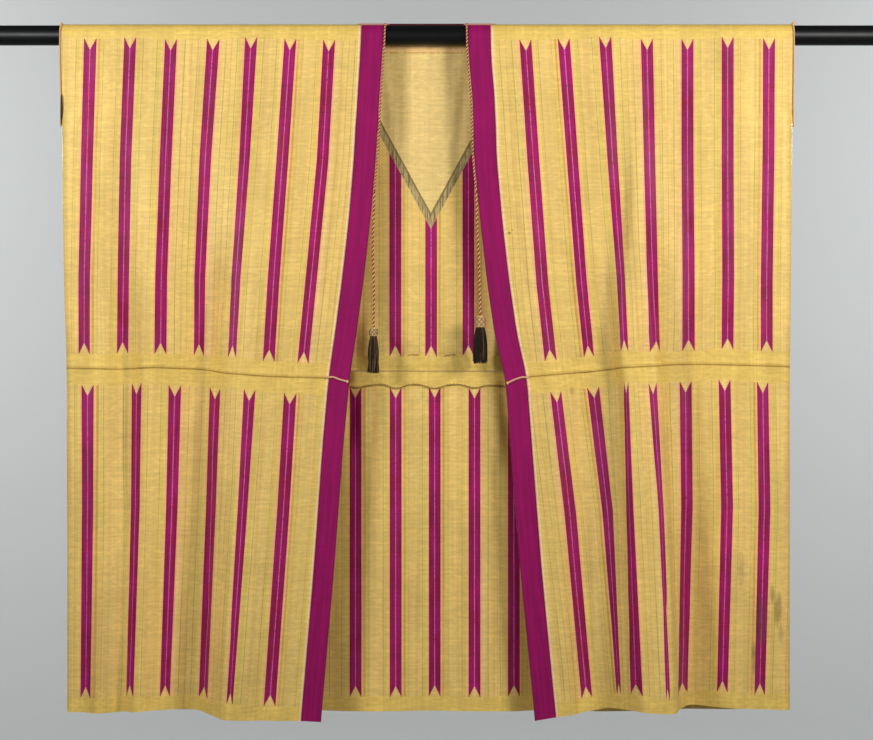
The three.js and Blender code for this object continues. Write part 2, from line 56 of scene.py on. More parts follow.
ROD_RADIUS = 18
CLOTH = 1.5  # wall of the CAD silk
TRIM = 1  # wall of the CAD bands and seam allowances
GAP = 0.3
DRAPE_RADIUS = ROD_RADIUS + 1.5
SHOULDER_ARC = DRAPE_RADIUS * math.pi / 2
FRONT_CLOTH = 583
BACK_CLOTH = 1345
BAND = 40
FOLD_SOFTNESS = 10
SLIT_CLOSING = (118, 172)
FOLDS_START = 130
WAIST = 600
HEM = 1216
LEAN = math.radians(3)
NECK = {"left": -79, "right": 72, "turn": 20, "scoop": 6}
NECK_BAND = {"left": -116, "right": 112, "height": 52}
ALLOWANCE = 28
NECK_CORD_DROP = 283

OUTLINE = {
    "drop": (-20, 43, 115, 223, 331, 439, 538, 615, 745, 961, 1240),
    "left_side": (-660, -661, -659, -658, -657, -655, -652, -650, -650, -649, -649),
    "left_edge": (-79, -82, -87, -93, -102, -114, -127, -139, -151, -167, -191),
    "right_edge": (72, 73, 80, 83, 93, 105, 119, 138, 148, 165, 192),
    "right_side": (657, 657, 656, 655, 654, 653, 652, 651, 651, 651, 651),
}
HALF_DEPTH = {"drop": (0, 170, 600, 1240), "half": (DRAPE_RADIUS, 19, 15, 14)}

# Flanks of the folds: from and to along the cloth, then degrees at the waist and at the hem, and how
# far nearer to the side fold the flank starts at the chest.
LEFT_FLANKS = (
    (45, 80, 4, 30),
    (80, 125, -10, -34),
    (135, 170, 46, 50),
    (185, 270, -14, -24),
    (292, 350, 46, 44),
    (350, 392, 8, 46),
    (400, 470, -16, -24),
    (482, 545, -14, -16),
)
RIGHT_FLANKS = (
    (125, 185, -4, -10),
    (200, 238, 15, 58),
    (238, 284, 62, 74),
    (343, 387, -66, -55, 56),
    (387, 450, -10, -52, 56),
    (462, 500, 5, 30),
    (510, 548, -8, -12),
)
BACK_FLANKS = (
    (130, 195, 7, 18),
    (235, 310, -6, -15),
    (400, 450, 8, 14),
    (470, 530, -7, -12),
    (610, 660, 4, 9),
    (690, 750, -3, -8),
    (830, 890, 9, 19),
    (925, 985, -8, -19),
    (1080, 1130, 10, 16),
    (1160, 1225, -8, -12),
)

# Drops of the waist seam and of the hem at places along each cloth.
LEFT_LEVELS = {
    "u": (0, 110, 190, 272, 345, 430, FRONT_CLOTH),
    "waist": (599, 601, 598, 601, 608, 614, 618),
    "hem": (1216, 1216, 1211, 1210, 1216, 1222, 1228),
}
RIGHT_LEVELS = {
    "u": (0, 110, 190, 300, 360, 430, FRONT_CLOTH),
    "waist": (597, 593.5, 592, 596, 599, 606, 618),
    "hem": (1213, 1209, 1203, 1208, 1204, 1206, 1229),
}
BACK_LEVELS = {
    "u": (0, 300, 1000, BACK_CLOTH),
    "waist": (599, 604, 605, 597),
    "hem": (1216, 1219, 1219, 1213),
}

BAND_MIDDLE = CLOTH / 2 + GAP + TRIM / 2  # from the middle of the cloth to the middle of a band
CORD_OUT = 1.1
CORD_BESIDE = 2.5
ARM_CORD_DROP = 162

# ---- sizes of the visual model ----

SILK = 0.7  # wall of the silk that shows
BAND_SILK = 0.7
ALLOWANCE_SILK = 0.6
ALLOWANCE_INSET = 44  # from a side fold to an allowance's end
PLY_SHARE = 0.54  # a ply's radius, as a share of the cord's
GRID = 5.0  # spacing of the silk's mesh
SHOULDER_ROWS = 12
# Extra rows of the mesh beside the waist seam, as shares of the piece's length.
NEAR_SEAM = (0.0022, 0.0045, 0.0068, 0.0095, 0.0125, 0.016, 0.02)
EDGE_EASE = 26  # the relief fades out this close to a side edge
FRONT_EDGE_EASE = 60
SEAM_RIDGE = 1.5  # how far the upper silk rolls out over the waist seam
SEAM_RIDGE_AT = 5.0
SEAM_RIDGE_REACH = 3.2
PUCKER = 0.34  # height of the puckers beside the waist seam
PUCKER_REACH = 13
BAND_GRID = (13, 240)  # columns and rows of the smaller pieces' meshes
NECK_BAND_GRID = (56, 25)
ALLOWANCE_GRID = (420, 10)

CAMERA = {"x": 15.3, "z": -602.3, "distance": 4000, "front": -19, "scale": 1.792}

# x of the woven stripes' middles at four or three drops, from the side fold in, as seen from in front.
PITCH = 73
HALF_STRIPE = 0.145  # half width of a stripe, in pitches
LAST_GROUND = 46.0  # silk with hairlines beside the last stripe, plain from there on
SEEN_LIMITS = (0.12, 1.1)  # least and most of a stripe's width that shows
FAR = 100  # pitches past the first and last stripe where its numbers end
STRIPES = {
    "front_left_upper": {
        47: (-606, -535, -462, -387, -319, -249, -179),
        226: (-611, -542, -470, -399, -329, -261, -189),
        441: (-616, -546, -478, -409, -344, -277, -210),
        540: (-616, -547, -479, -410, -349, -283, -220),
    },
    "front_left_lower": {
        656: (-610, -522, -454, -382, -321, -248),
        853: (-610, -524, -459, -389, -333, -260),
        1122: (-613, -532, -469, -400, -351, -279),
    },
    "front_right_upper": {
        47: (611, 537, 465, 393, 320, 246, 177),
        226: (610, 537, 465, 397, 331, 259, 189),
        441: (607, 538, 467, 402, 346, 275, 205),
        540: (607, 537, 467, 405, 351, 285, 216),
    },
    "front_right_lower": {
        656: (600, 532, 462, 404, 356, 299, 232),
        853: (603, 536, 464, 418, 362, 322, 255),
        1122: (596, 529, 458, 428, 372, 339, 279),
    },
}
# Width of each stripe as seen, as a share of the flat width: folds hide part of some of them.
SEEN_WIDTHS = {
    "front_left_upper": {47: (1.05, 1, 1, 1.05, 1, 1, 1), 540: (0.95, 0.95, 1, 0.85, 0.65, 1, 0.95)},
    "front_left_lower": {656: (1, 0.8, 1.05, 0.9, 0.95, 1.05), 1122: (0.85, 0.6, 0.85, 0.75, 0.5, 1)},
    "front_right_upper": {47: (1, 1, 1, 1, 1, 1, 1), 540: (1, 1, 1.05, 0.9, 0.6, 0.85, 1)},
    "front_right_lower": {
        656: (0.95, 1, 1, 0.62, 0.35, 1, 0.92),
        853: (1, 1, 0.98, 0.38, 0.6, 0.9, 0.98),
        1122: (0.9, 0.9, 0.85, 0.15, 0.98, 0.42, 0.9),
    },
}
# The back's stripes hang straight: those seen in the opening, and the pitch on to both sides.
BACK_STRIPES = {
    "back_upper": ((-146, -59, 5.5, 73), 71),
    "back_lower": ((-131, -58.5, 12, 84, 155), 72),
}
UPPER_LENGTH = SHOULDER_ARC + WAIST  # nominal length of the upper silk
LOWER_LENGTH = HEM - WAIST
STRIPE_ENDS = {"upper": (39, UPPER_LENGTH - 27), "lower": (29, LOWER_LENGTH - 27)}


def smooth(value, low, high):
    share = np.clip((value - low) / (high - low), 0, 1)
    return share * share * (3 - 2 * share)


def table_at(table, key, at, column):
    return np.interp(at, table[key], table[column])


# ---- the surface of the cloth ----


TABLED_DROPS = (-25.0, 1262.0, 3.0)  # first, end and step
CORNER_REACH = 9  # tabled drops over which the outline's corners are rounded off


class Drape:
    """The middle of a hanging stretch of cloth, tabled over u and drop.

    facing is the way it faces along y, and outward the side of its normal that faces out.
    """

    def __init__(self, name, width, flanks, levels, sides, facing, outward, lean=0.0):
        self.name, self.width, self.levels = name, width, levels
        self.facing, self.outward = facing, outward
        self.drops = np.arange(*TABLED_DROPS)
        self.us = np.linspace(0, width, int(width) + 1)
        middle = (self.us[1:] + self.us[:-1])[None, :] / 2
        drop = self.drops[:, None]
        half = table_at(HALF_DEPTH, "drop", drop, "half")
        closing = smooth(drop, *SLIT_CLOSING)
        roll = closing * (math.pi / 2)

        def turned(distance):
            return roll * np.clip(1 - distance / (half * math.pi / 2), 0, None)

        slope = turned(middle)
        if facing > 0:
            slope = slope - turned(width - middle)
        growth = smooth(drop, FOLDS_START, WAIST)
        below = np.clip((drop - WAIST) / (HEM - WAIST), 0, 1)
        for start, end, waist, hem, *climbs in flanks:
            climb = sum(climbs) * (1 - growth)
            start, end = start - climb, end - climb
            share = smooth(middle, start - FOLD_SOFTNESS, start + FOLD_SOFTNESS)
            share = share * (1 - smooth(middle, end - FOLD_SOFTNESS, end + FOLD_SOFTNESS))
            slope = slope + np.radians(waist + (hem - waist) * below) * growth * share
        slope = slope + lean * np.clip(drop / HEM, 0, 1)
        step = width / (len(self.us) - 1)
        run = np.cumsum(np.cos(slope), axis=1) * step
        rise = np.cumsum(np.sin(slope), axis=1) * step
        run = np.concatenate([np.zeros_like(drop), run], axis=1)
        rise = np.concatenate([np.zeros_like(drop), rise], axis=1)
        if facing > 0:
            rise = rise - rise[:, -1:] * (self.us / width)[None, :]
        safe = np.where(closing > 0, closing, 1)
        edge = half * (1 - (1 - np.cos(roll)) / safe) + GAP / 2
        edge = np.where(closing > 0, edge, half)
        low, high = (self.eased(column)[:, None] for column in sides)
        self.x = low + (high - low) * run / run[:, -1:]
        self.depth = edge + rise

    def eased(self, column):
        """An outline column at the tabled drops, with its corners rounded off."""
        values = table_at(OUTLINE, "drop", self.drops, column)
        padded = np.pad(values, CORNER_REACH, mode="edge")
        window = 2 * CORNER_REACH + 1
        return np.convolve(padded, np.full(window, 1 / window), mode="valid")

    def tabled(self, grid, u, drop):
        step = self.drops[1] - self.drops[0]
        across = np.clip(u / self.width * (len(self.us) - 1), 0, len(self.us) - 1.001)
        down = np.clip((drop - self.drops[0]) / step, 0, len(self.drops) - 1.001)
        i, j = across.astype(int), down.astype(int)
        a, b = across - i, down - j
        top = grid[j, i] * (1 - a) + grid[j, i + 1] * a
        bottom = grid[j + 1, i] * (1 - a) + grid[j + 1, i + 1] * a
        return top * (1 - b) + bottom * b

    def point(self, u, v):
        """Points of the middle of the cloth, in millimetres, for arrays of u and v."""
        u, v = np.broadcast_arrays(np.asarray(u, float), np.asarray(v, float))
        turn = np.clip(math.pi / 2 - v / DRAPE_RADIUS, 0, None)
        drop = np.where(v < SHOULDER_ARC, -DRAPE_RADIUS * np.sin(turn), v - SHOULDER_ARC)
        depth = self.tabled(self.depth, u, np.maximum(drop, 0))
        depth = np.where(v < SHOULDER_ARC, DRAPE_RADIUS * np.cos(turn), depth)
        return np.stack([self.tabled(self.x, u, drop), self.facing * depth, -drop], axis=-1)

    def waist(self, u):
        return SHOULDER_ARC + table_at(self.levels, "u", u, "waist")

    def hem(self, u):
        return SHOULDER_ARC + table_at(self.levels, "u", u, "hem")


fronts = {
    "left": Drape("front_left", FRONT_CLOTH, LEFT_FLANKS, LEFT_LEVELS, ("left_side", "left_edge"),
                  facing=-1, outward=-1, lean=LEAN),
    "right": Drape("front_right", FRONT_CLOTH, RIGHT_FLANKS, RIGHT_LEVELS, ("right_side", "right_edge"),
                   facing=-1, outward=1, lean=LEAN),
}
back = Drape("back", BACK_CLOTH, BACK_FLANKS, BACK_LEVELS, ("left_side", "right_side"), facing=1, outward=1)

neck_start = NECK["left"] - OUTLINE["left_side"][0]
neck_end = BACK_CLOTH - (OUTLINE["right_side"][0] - NECK["right"])


def neck_top(u):
    """v of the back's top edge, scooped a little below the shoulder line at the neck."""
    into = smooth(u, neck_start, neck_start + NECK["turn"])
    out = smooth(u, neck_end - NECK["turn"], neck_end)
    return GAP / 2 + NECK["scoop"] * into * (1 - out)


def front_top(u):
    return np.full_like(np.asarray(u, float), GAP / 2)


def normals_of(points, surface):
    """Unit normals of a grid of points on a surface, on the side that faces out."""
    across = np.gradient(points, axis=1)
    down = np.gradient(points, axis=0)
    normal = np.cross(across, down) * surface.outward
    return normal / np.maximum(np.linalg.norm(normal, axis=-1, keepdims=True), 1e-9)


# ---- meshes ----


def make_object(name, vertices, faces, materials, material_index=None):
    mesh = bpy.data.meshes.new(name)
    mesh.from_pydata([tuple(p) for p in vertices], [], faces)
    for material in materials:
        mesh.materials.append(material)
    if material_index is not None:
        mesh.polygons.foreach_set("material_index", material_index)
    mesh.polygons.foreach_set("use_smooth", [True] * len(mesh.polygons))
    mesh.update()
    piece = bpy.data.objects.new(name, mesh)
    bpy.context.scene.collection.objects.link(piece)
    return piece


def set_uv(piece, layer_name, per_vertex):
    mesh = piece.data
    layer = mesh.uv_layers.new(name=layer_name)
    corners = np.zeros(len(mesh.loops), np.int32)
    mesh.loops.foreach_get("vertex_index", corners)
    layer.data.foreach_set("uv", np.asarray(per_vertex, np.float32)[corners].ravel())


def shell(name, surface, points, thickness, material, uvs):
    """A closed thin wall about a grid of points in millimetres, sharp at its rim, with its UV layers."""
    half = normals_of(points, surface) * thickness / 2
    outer, inner = points + half, points - half
    rows, columns = outer.shape[:2]
    size = rows * columns
    ids = np.arange(size).reshape(rows, columns)
    a, b, c, d = ids[:-1, :-1], ids[1:, :-1], ids[1:, 1:], ids[:-1, 1:]
    front = np.stack([a, b, c, d], axis=-1).reshape(-1, 4)
    rear = np.stack([a, d, c, b], axis=-1).reshape(-1, 4) + size
    rim = np.concatenate([ids[0, :-1], ids[:-1, -1], ids[-1, :0:-1], ids[:0:-1, 0]])
    after = np.roll(rim, -1)
    edge = np.stack([rim, after, after + size, rim + size], axis=-1)
    faces = np.concatenate([front, rear, edge])
    points = np.concatenate([outer.reshape(-1, 3), inner.reshape(-1, 3)]) * MM
    p0, p1, p2, p3 = (points[faces[:, k]] for k in range(4))
    volume = np.einsum("ij,ij->i", p0, np.cross(p1, p2)) + np.einsum("ij,ij->i", p0, np.cross(p2, p3))
    if volume.sum() < 0:
        faces = faces[:, ::-1]
    piece = make_object(name, points, faces.tolist(), [material])
    for layer_name, values in uvs.items():
        set_uv(piece, layer_name, np.concatenate([values.reshape(-1, 2)] * 2))
    rims = set(rim.tolist()) | set((rim + size).tolist())
    for polygon in list(piece.data.polygons)[-len(rim):]:
        polygon.use_smooth = False
    for item in piece.data.edges:
        low, high = item.vertices
        if low in rims and high in rims and (low < size) == (high < size):
            item.use_edge_sharp = True
    return piece


def seen_x(points):
    """x at which points line up with the front of the shoulders, from the camera."""
    reach = CAMERA["distance"] / (CAMERA["distance"] + points[..., 1] - CAMERA["front"])
    return CAMERA["x"] + (points[..., 0] - CAMERA["x"]) * reach


def cloth_place(surface, x, drop):
    """u and v on the cloth, at an x seen from in front and a drop."""
    us = np.arange(0, surface.width, 1.0)
    v = SHOULDER_ARC + drop
    seen = seen_x(surface.point(us, np.full_like(us, v)))
    return float(us[np.argmin(np.abs(seen - x))]), v


def places_at(levels, drop):
    """The stripes' x at a drop, on straight lines through the two nearest levels."""
    drops = sorted(levels)
    k = min(max(int(np.searchsorted(drops, drop)) - 1, 0), len(drops) - 2)
    above, below = np.array(levels[drops[k]], float), np.array(levels[drops[k + 1]], float)
    return above + (below - above) * (drop - drops[k]) / (drops[k + 1] - drops[k])


def back_places(name):
    """x of every stripe on the back, from its left side fold to its right one."""
    middle, pitch = BACK_STRIPES[name]
    reach = 638
    xs = list(middle)
    while xs[0] - pitch > -reach:
        xs.insert(0, xs[0] - pitch)
    while xs[-1] + pitch < reach:
        xs.append(xs[-1] + pitch)
    return {0: xs, HEM: xs}


def stripe_units(name, us, points, v):
    """Whole numbers at the stripes' middles, row by row, and HALF_STRIPE more at their edges."""
    levels = STRIPES.get(name) or back_places(name)
    widths = SEEN_WIDTHS.get(name)
    seen = seen_x(points) if name in STRIPES else points[..., 0]
    far = FAR * PITCH
    units = np.zeros_like(v)
    for row in range(len(v)):
        order = np.argsort(seen[row])
        drop = max(v[row].mean() - SHOULDER_ARC, 0)
        middles = places_at(levels, drop)
        share = np.clip(places_at(widths, drop), *SEEN_LIMITS) if widths else 1.0
        reach = HALF_STRIPE * PITCH * share
        first = np.interp(middles - reach, seen[row][order], us[order])
        second = np.interp(middles + reach, seen[row][order], us[order])
        numbers = np.arange(len(middles))
        places = np.stack([np.minimum(first, second), np.maximum(first, second)], axis=1).ravel()
        shares = np.stack([numbers - HALF_STRIPE, numbers + HALF_STRIPE], axis=1).ravel()
        places = np.concatenate([[places[0] - far], places, [places[-1] + LAST_GROUND, places[-1] + far]])
        after = shares[-1] + LAST_GROUND / PITCH
        shares = np.concatenate([[shares[0] - FAR], shares, [after, after + 0.01]])
        units[row] = np.interp(us, places, shares)
    return units


# ---- creases and pulls in the silk ----

# Soft troughs (negative) and ridges: u, v, reach across, reach along, lean, height.
CREASES = {
    "front_left_upper": (
        (95, 560, 9, 60, 0.06, 1.6), (150, 575, 7, 45, -0.1, -1.4), (228, 560, 10, 70, 0.05, 1.5),
        (255, 590, 6, 34, 0.12, -1.5), (318, 565, 8, 62, -0.04, 1.4), (378, 585, 7, 42, 0.08, -1.6),
        (440, 560, 9, 70, -0.08, 1.4), (508, 590, 7, 36, 0.1, -1.3), (60, 60, 26, 30, 0.5, 1.2),
        (210, 52, 30, 26, -0.4, -1.0), (420, 58, 34, 30, 0.3, 1.2), (300, 240, 40, 130, 0.1, 1.4),
        (105, 330, 30, 150, -0.05, -1.5), (465, 300, 26, 160, 0.12, 1.8), (30, 230, 12, 80, 0.1, -1.2),
    ),
    "front_right_upper": (
        (70, 565, 8, 50, 0.08, 1.5), (128, 580, 9, 44, -0.06, -1.4), (176, 560, 8, 66, 0.1, 1.6),
        (222, 585, 6, 36, -0.12, -1.5), (300, 575, 7, 50, 0.02, 1.3), (372, 570, 10, 62, 0.08, -1.7),
        (445, 585, 8, 40, -0.1, 1.6), (515, 565, 8, 60, 0.05, -1.3), (90, 58, 30, 28, -0.4, 1.1),
        (280, 52, 34, 26, 0.35, -1.0), (470, 60, 30, 34, -0.3, 1.2), (150, 260, 36, 140, -0.06, 1.5),
        (410, 250, 34, 150, 0.08, -1.6), (60, 380, 24, 120, 0.04, -1.3), (520, 330, 18, 140, -0.1, 1.6),
    ),
    "front_left_lower": (
        (90, 672, 8, 44, -0.08, 1.5), (120, 690, 7, 54, 0.06, -1.4), (205, 670, 9, 50, 0.1, 1.6),
        (262, 680, 6, 46, -0.1, -1.4), (330, 672, 8, 50, 0.06, 1.4), (395, 690, 9, 60, -0.08, -1.5),
        (462, 675, 8, 44, 0.1, 1.5), (520, 690, 7, 50, -0.06, -1.3), (230, 960, 34, 170, 0.05, 1.6),
        (480, 980, 30, 190, -0.06, -1.8), (100, 1010, 22, 150, 0.04, 1.4), (430, 1150, 26, 70, 0.1, 1.6),
    ),
    "front_right_lower": (
        (64, 668, 8, 46, 0.06, 1.4), (110, 690, 9, 52, -0.08, -1.5), (168, 672, 7, 44, 0.08, 1.5),
        (232, 684, 6, 50, -0.04, -1.3), (310, 672, 8, 48, 0.08, 1.4), (376, 690, 9, 56, -0.1, -1.6),
        (440, 676, 8, 44, 0.06, 1.5), (512, 690, 8, 54, -0.08, -1.4), (130, 960, 32, 180, -0.04, 1.6),
        (460, 930, 28, 180, 0.06, -1.7), (60, 1080, 22, 120, 0.03, -1.3), (520, 1120, 22, 90, -0.08, 1.5),
    ),
    "back_upper": (
        (610, 602, 9, 30, 0.3, 1.8), (632, 612, 8, 24, -0.5, -1.6), (652, 600, 7, 30, 0.2, 1.5),
        (700, 606, 9, 28, -0.3, -1.6), (745, 600, 8, 32, 0.2, 1.5), (562, 604, 8, 30, -0.2, 1.4),
        (590, 130, 14, 120, 0.15, -2.2), (625, 190, 12, 150, 0.2, 1.6), (730, 140, 14, 110, -0.2, -2.0),
        (705, 220, 12, 140, -0.15, 1.4), (668, 420, 20, 120, 0.03, -1.4), (250, 300, 46, 190, 0.05, 1.8),
        (420, 420, 34, 170, -0.06, -1.7), (900, 330, 40, 190, 0.06, 1.7), (1120, 400, 38, 180, -0.05, -1.8),
        (160, 560, 10, 60, 0.08, 1.5), (340, 575, 9, 50, -0.08, -1.5), (470, 565, 9, 55, 0.06, 1.5),
        (820, 575, 9, 52, -0.06, 1.5), (980, 565, 10, 60, 0.08, -1.6), (1190, 575, 9, 50, -0.08, 1.5),
    ),
    "back_lower": (
        (585, 690, 9, 46, 0.1, 1.5), (640, 700, 8, 60, -0.06, -1.4), (690, 684, 9, 50, 0.08, 1.5),
        (735, 700, 8, 56, -0.1, -1.5), (150, 700, 10, 60, 0.08, 1.5), (330, 690, 9, 56, -0.08, -1.5),
        (480, 700, 9, 50, 0.06, 1.4), (860, 690, 10, 60, -0.08, 1.5), (1040, 700, 9, 54, 0.06, -1.5),
        (1200, 690, 9, 50, -0.06, 1.4), (280, 980, 44, 190, 0.04, 1.8), (600, 1000, 36, 180, -0.04, -1.6),
        (760, 1040, 34, 160, 0.05, 1.6), (1000, 960, 42, 200, -0.05, -1.8),
        (1180, 1060, 34, 150, 0.04, 1.6),
    ),
}

# Wider soft folds, in pairs of a trough and a ridge: x as seen from in front, drop,
# reach across, reach along, lean, height.
FOLDS = {
    "front_left_upper": (
        (-545, 530, 15, 90, 0.0, -3.0), (-509, 530, 15, 90, 0.0, 3.0),
        (-398, 520, 14, 110, -0.03, -3.5), (-364, 520, 14, 110, -0.03, 3.5),
        (-300, 210, 26, 120, 0.1, -2.5), (-250, 210, 26, 120, 0.1, 2.5),
    ),
    "front_left_lower": (
        (-538, 1030, 22, 210, 0.05, 6.0), (-494, 1030, 22, 210, 0.05, -6.0),
        (-400, 1040, 18, 210, 0.0, -6.0), (-358, 1040, 18, 210, 0.0, 6.0),
        (-250, 800, 22, 130, 0.1, -2.5), (-206, 800, 22, 130, 0.1, 2.5),
    ),
    "front_right_upper": (
        (347, 310, 15, 170, -0.05, -7.5), (375, 310, 15, 170, -0.05, 7.5),
        (480, 380, 26, 140, 0.0, -2.5), (530, 380, 26, 140, 0.0, 2.5),
    ),
    "front_right_lower": (
        (270, 1110, 15, 230, -0.05, -8.5), (302, 1110, 15, 230, -0.05, 8.5),
        (292, 700, 16, 110, 0.0, -4.5), (326, 700, 16, 110, 0.0, 4.5),
        (478, 1000, 22, 210, 0.0, -6.0), (528, 1000, 22, 210, 0.0, 6.0),
    ),
    "back_upper": (
        (-134, 560, 12, 62, 0.0, 8.0), (-104, 565, 12, 56, 0.0, -7.0),
        (128, 556, 12, 62, 0.0, -7.0), (156, 560, 12, 62, 0.0, 8.0),
        (-80, 120, 10, 80, 0.1, 4.0), (62, 120, 10, 80, -0.1, 4.0),
        (-122, 330, 17, 170, 0.0, 8.0), (102, 340, 18, 190, 0.0, 9.0),
        (-28, 575, 8, 26, 0.5, 3.0), (20, 590, 8, 28, -0.5, 3.2), (70, 582, 9, 30, 0.3, -3.0),
    ),
    "back_lower": (
        (-140, 690, 12, 60, 0.0, 7.0), (-116, 690, 12, 60, 0.0, -5.0),
        (120, 700, 13, 90, 0.1, -6.0), (146, 700, 13, 90, 0.1, 7.0),
        (-30, 650, 9, 34, 0.3, -3.0), (36, 640, 8, 30, -0.4, 3.0), (86, 800, 16, 110, 0.0, 3.0),
    ),
}


def mound(u, v, at_u, at_v, across, along, lean, size):
    """One soft trough or ridge, whose crest leans by a share of its way along v."""
    shift = (u - at_u) - lean * (v - at_v)
    return size * np.exp(-((shift / across) ** 2) - ((v - at_v) / along) ** 2)


def uneven_wave(at, rate, sway, sway_rate):
    """A sine wave whose length changes slowly along the cloth."""
    return np.sin(at * rate + sway * np.sin(at * sway_rate))


def relief(name, surface, u, v, seam_v):
    """Height of the creases, the puckers along the waist seam and the silk's faint unevenness."""
    height = np.zeros_like(u)
    for x, drop, across, along, lean, size in FOLDS[name]:
        way = 1 if surface is back or x < 0 else -1
        height += mound(u, v, *cloth_place(surface, x, drop), across, along, lean * way, size)
    for crease in CREASES[name]:
        height += mound(u, v, *crease)
    pucker = uneven_wave(u, 0.41, 1.7, 0.043) + 0.6 * uneven_wave(u, 0.77, 2.1, 0.061)
    height += PUCKER * pucker * np.exp(-((np.abs(v - seam_v) / PUCKER_REACH) ** 2))
    height += 0.35 * np.sin(u * 0.052 + 0.9 * np.sin(v * 0.011)) * np.sin(v * 0.021 + 0.7)
    height += 0.3 * np.sin(u * 0.13 + v * 0.017) * np.sin(v * 0.043 + u * 0.009)
    down = np.sin(v * 0.031 + 1.1 * np.sin(u * 0.023))
    height += 0.35 * np.sin(u * 0.097 + 1.3 * np.sin(v * 0.017)) * down
    return height


def silk_height(surface, tier, u, v):
    """How far the silk stands out from its plain surface: nothing at its top and side edges."""
    seam = surface.waist(u)
    height = relief(f"{surface.name}_{tier}", surface, u, v, seam)
    if tier == "upper":
        from_ridge = (seam - v - SEAM_RIDGE_AT) / SEAM_RIDGE_REACH
        height = height + SEAM_RIDGE * np.exp(-(from_ridge ** 2))
        height = height * smooth(v, SHOULDER_ARC * 0.4, SHOULDER_ARC + 30)
    ease = EDGE_EASE if surface is back else FRONT_EDGE_EASE
    return height * smooth(u, 0, EDGE_EASE) * smooth(surface.width - u, 0, ease)


def front_height(surface, u, v):
    """The same for a whole front, smooth across the waist seam."""
    upper, lower = (silk_height(surface, tier, u, v) for tier in ("upper", "lower"))
    share = smooth(v - surface.waist(u), -8, 8)
    return upper + (lower - upper) * share


def silk_grid(surface, tier, top, bottom):
    """Grids of u, v and points of one stretch of silk, with its relief."""
    us = np.linspace(0, surface.width, int(surface.width / GRID) + 1)
    rows = int((bottom(us).mean() - top(us).mean()) / GRID)
    near_seam = np.array(NEAR_SEAM)
    shares = np.linspace(0, 1, rows + 1)
    if tier == "upper":
        near_seam = 1 - near_seam
        arc = SHOULDER_ARC / bottom(us).mean()
        over_rod = np.linspace(0, arc, SHOULDER_ROWS + 1)[:-1]
        shares = np.concatenate([over_rod, np.linspace(arc, 1, rows + 1)])
    shares = np.unique(np.concatenate([shares, near_seam]))
    low, high = top(us)[None, :], bottom(us)[None, :]
    v = low + (high - low) * shares[:, None]
    u = np.broadcast_to(us[None, :], v.shape).copy()
    points = surface.point(u, v)
    return u, v, points + normals_of(points, surface) * silk_height(surface, tier, u, v)[..., None]


def add_silk(surface, tier, top, bottom, material):
    u, v, points = silk_grid(surface, tier, top, bottom)
    if tier == "upper":
        start, end, nominal = 0, surface.waist(u), UPPER_LENGTH
    else:
        start, end, nominal = surface.waist(u), surface.hem(u), LOWER_LENGTH
    level = (v - start) / (end - start) * nominal
    name = f"{surface.name}_{tier}"
    uvs = {
        "cloth": np.stack([u, v], axis=-1) * MM,
        "pattern": np.stack([stripe_units(name, u[0], points, v), level * MM], axis=-1),
    }
    return shell(f"silk_{name}", surface, points, SILK, material, uvs)


# ---- materials ----


def srgb(red, green, blue):
    """A linear colour from 8-bit sRGB values."""
    values = []
    for value in (red, green, blue):
        share = value / 255
        values.append(share / 12.92 if share <= 0.04045 else ((share + 0.055) / 1.055) ** 2.4)
    return (*values, 1.0)


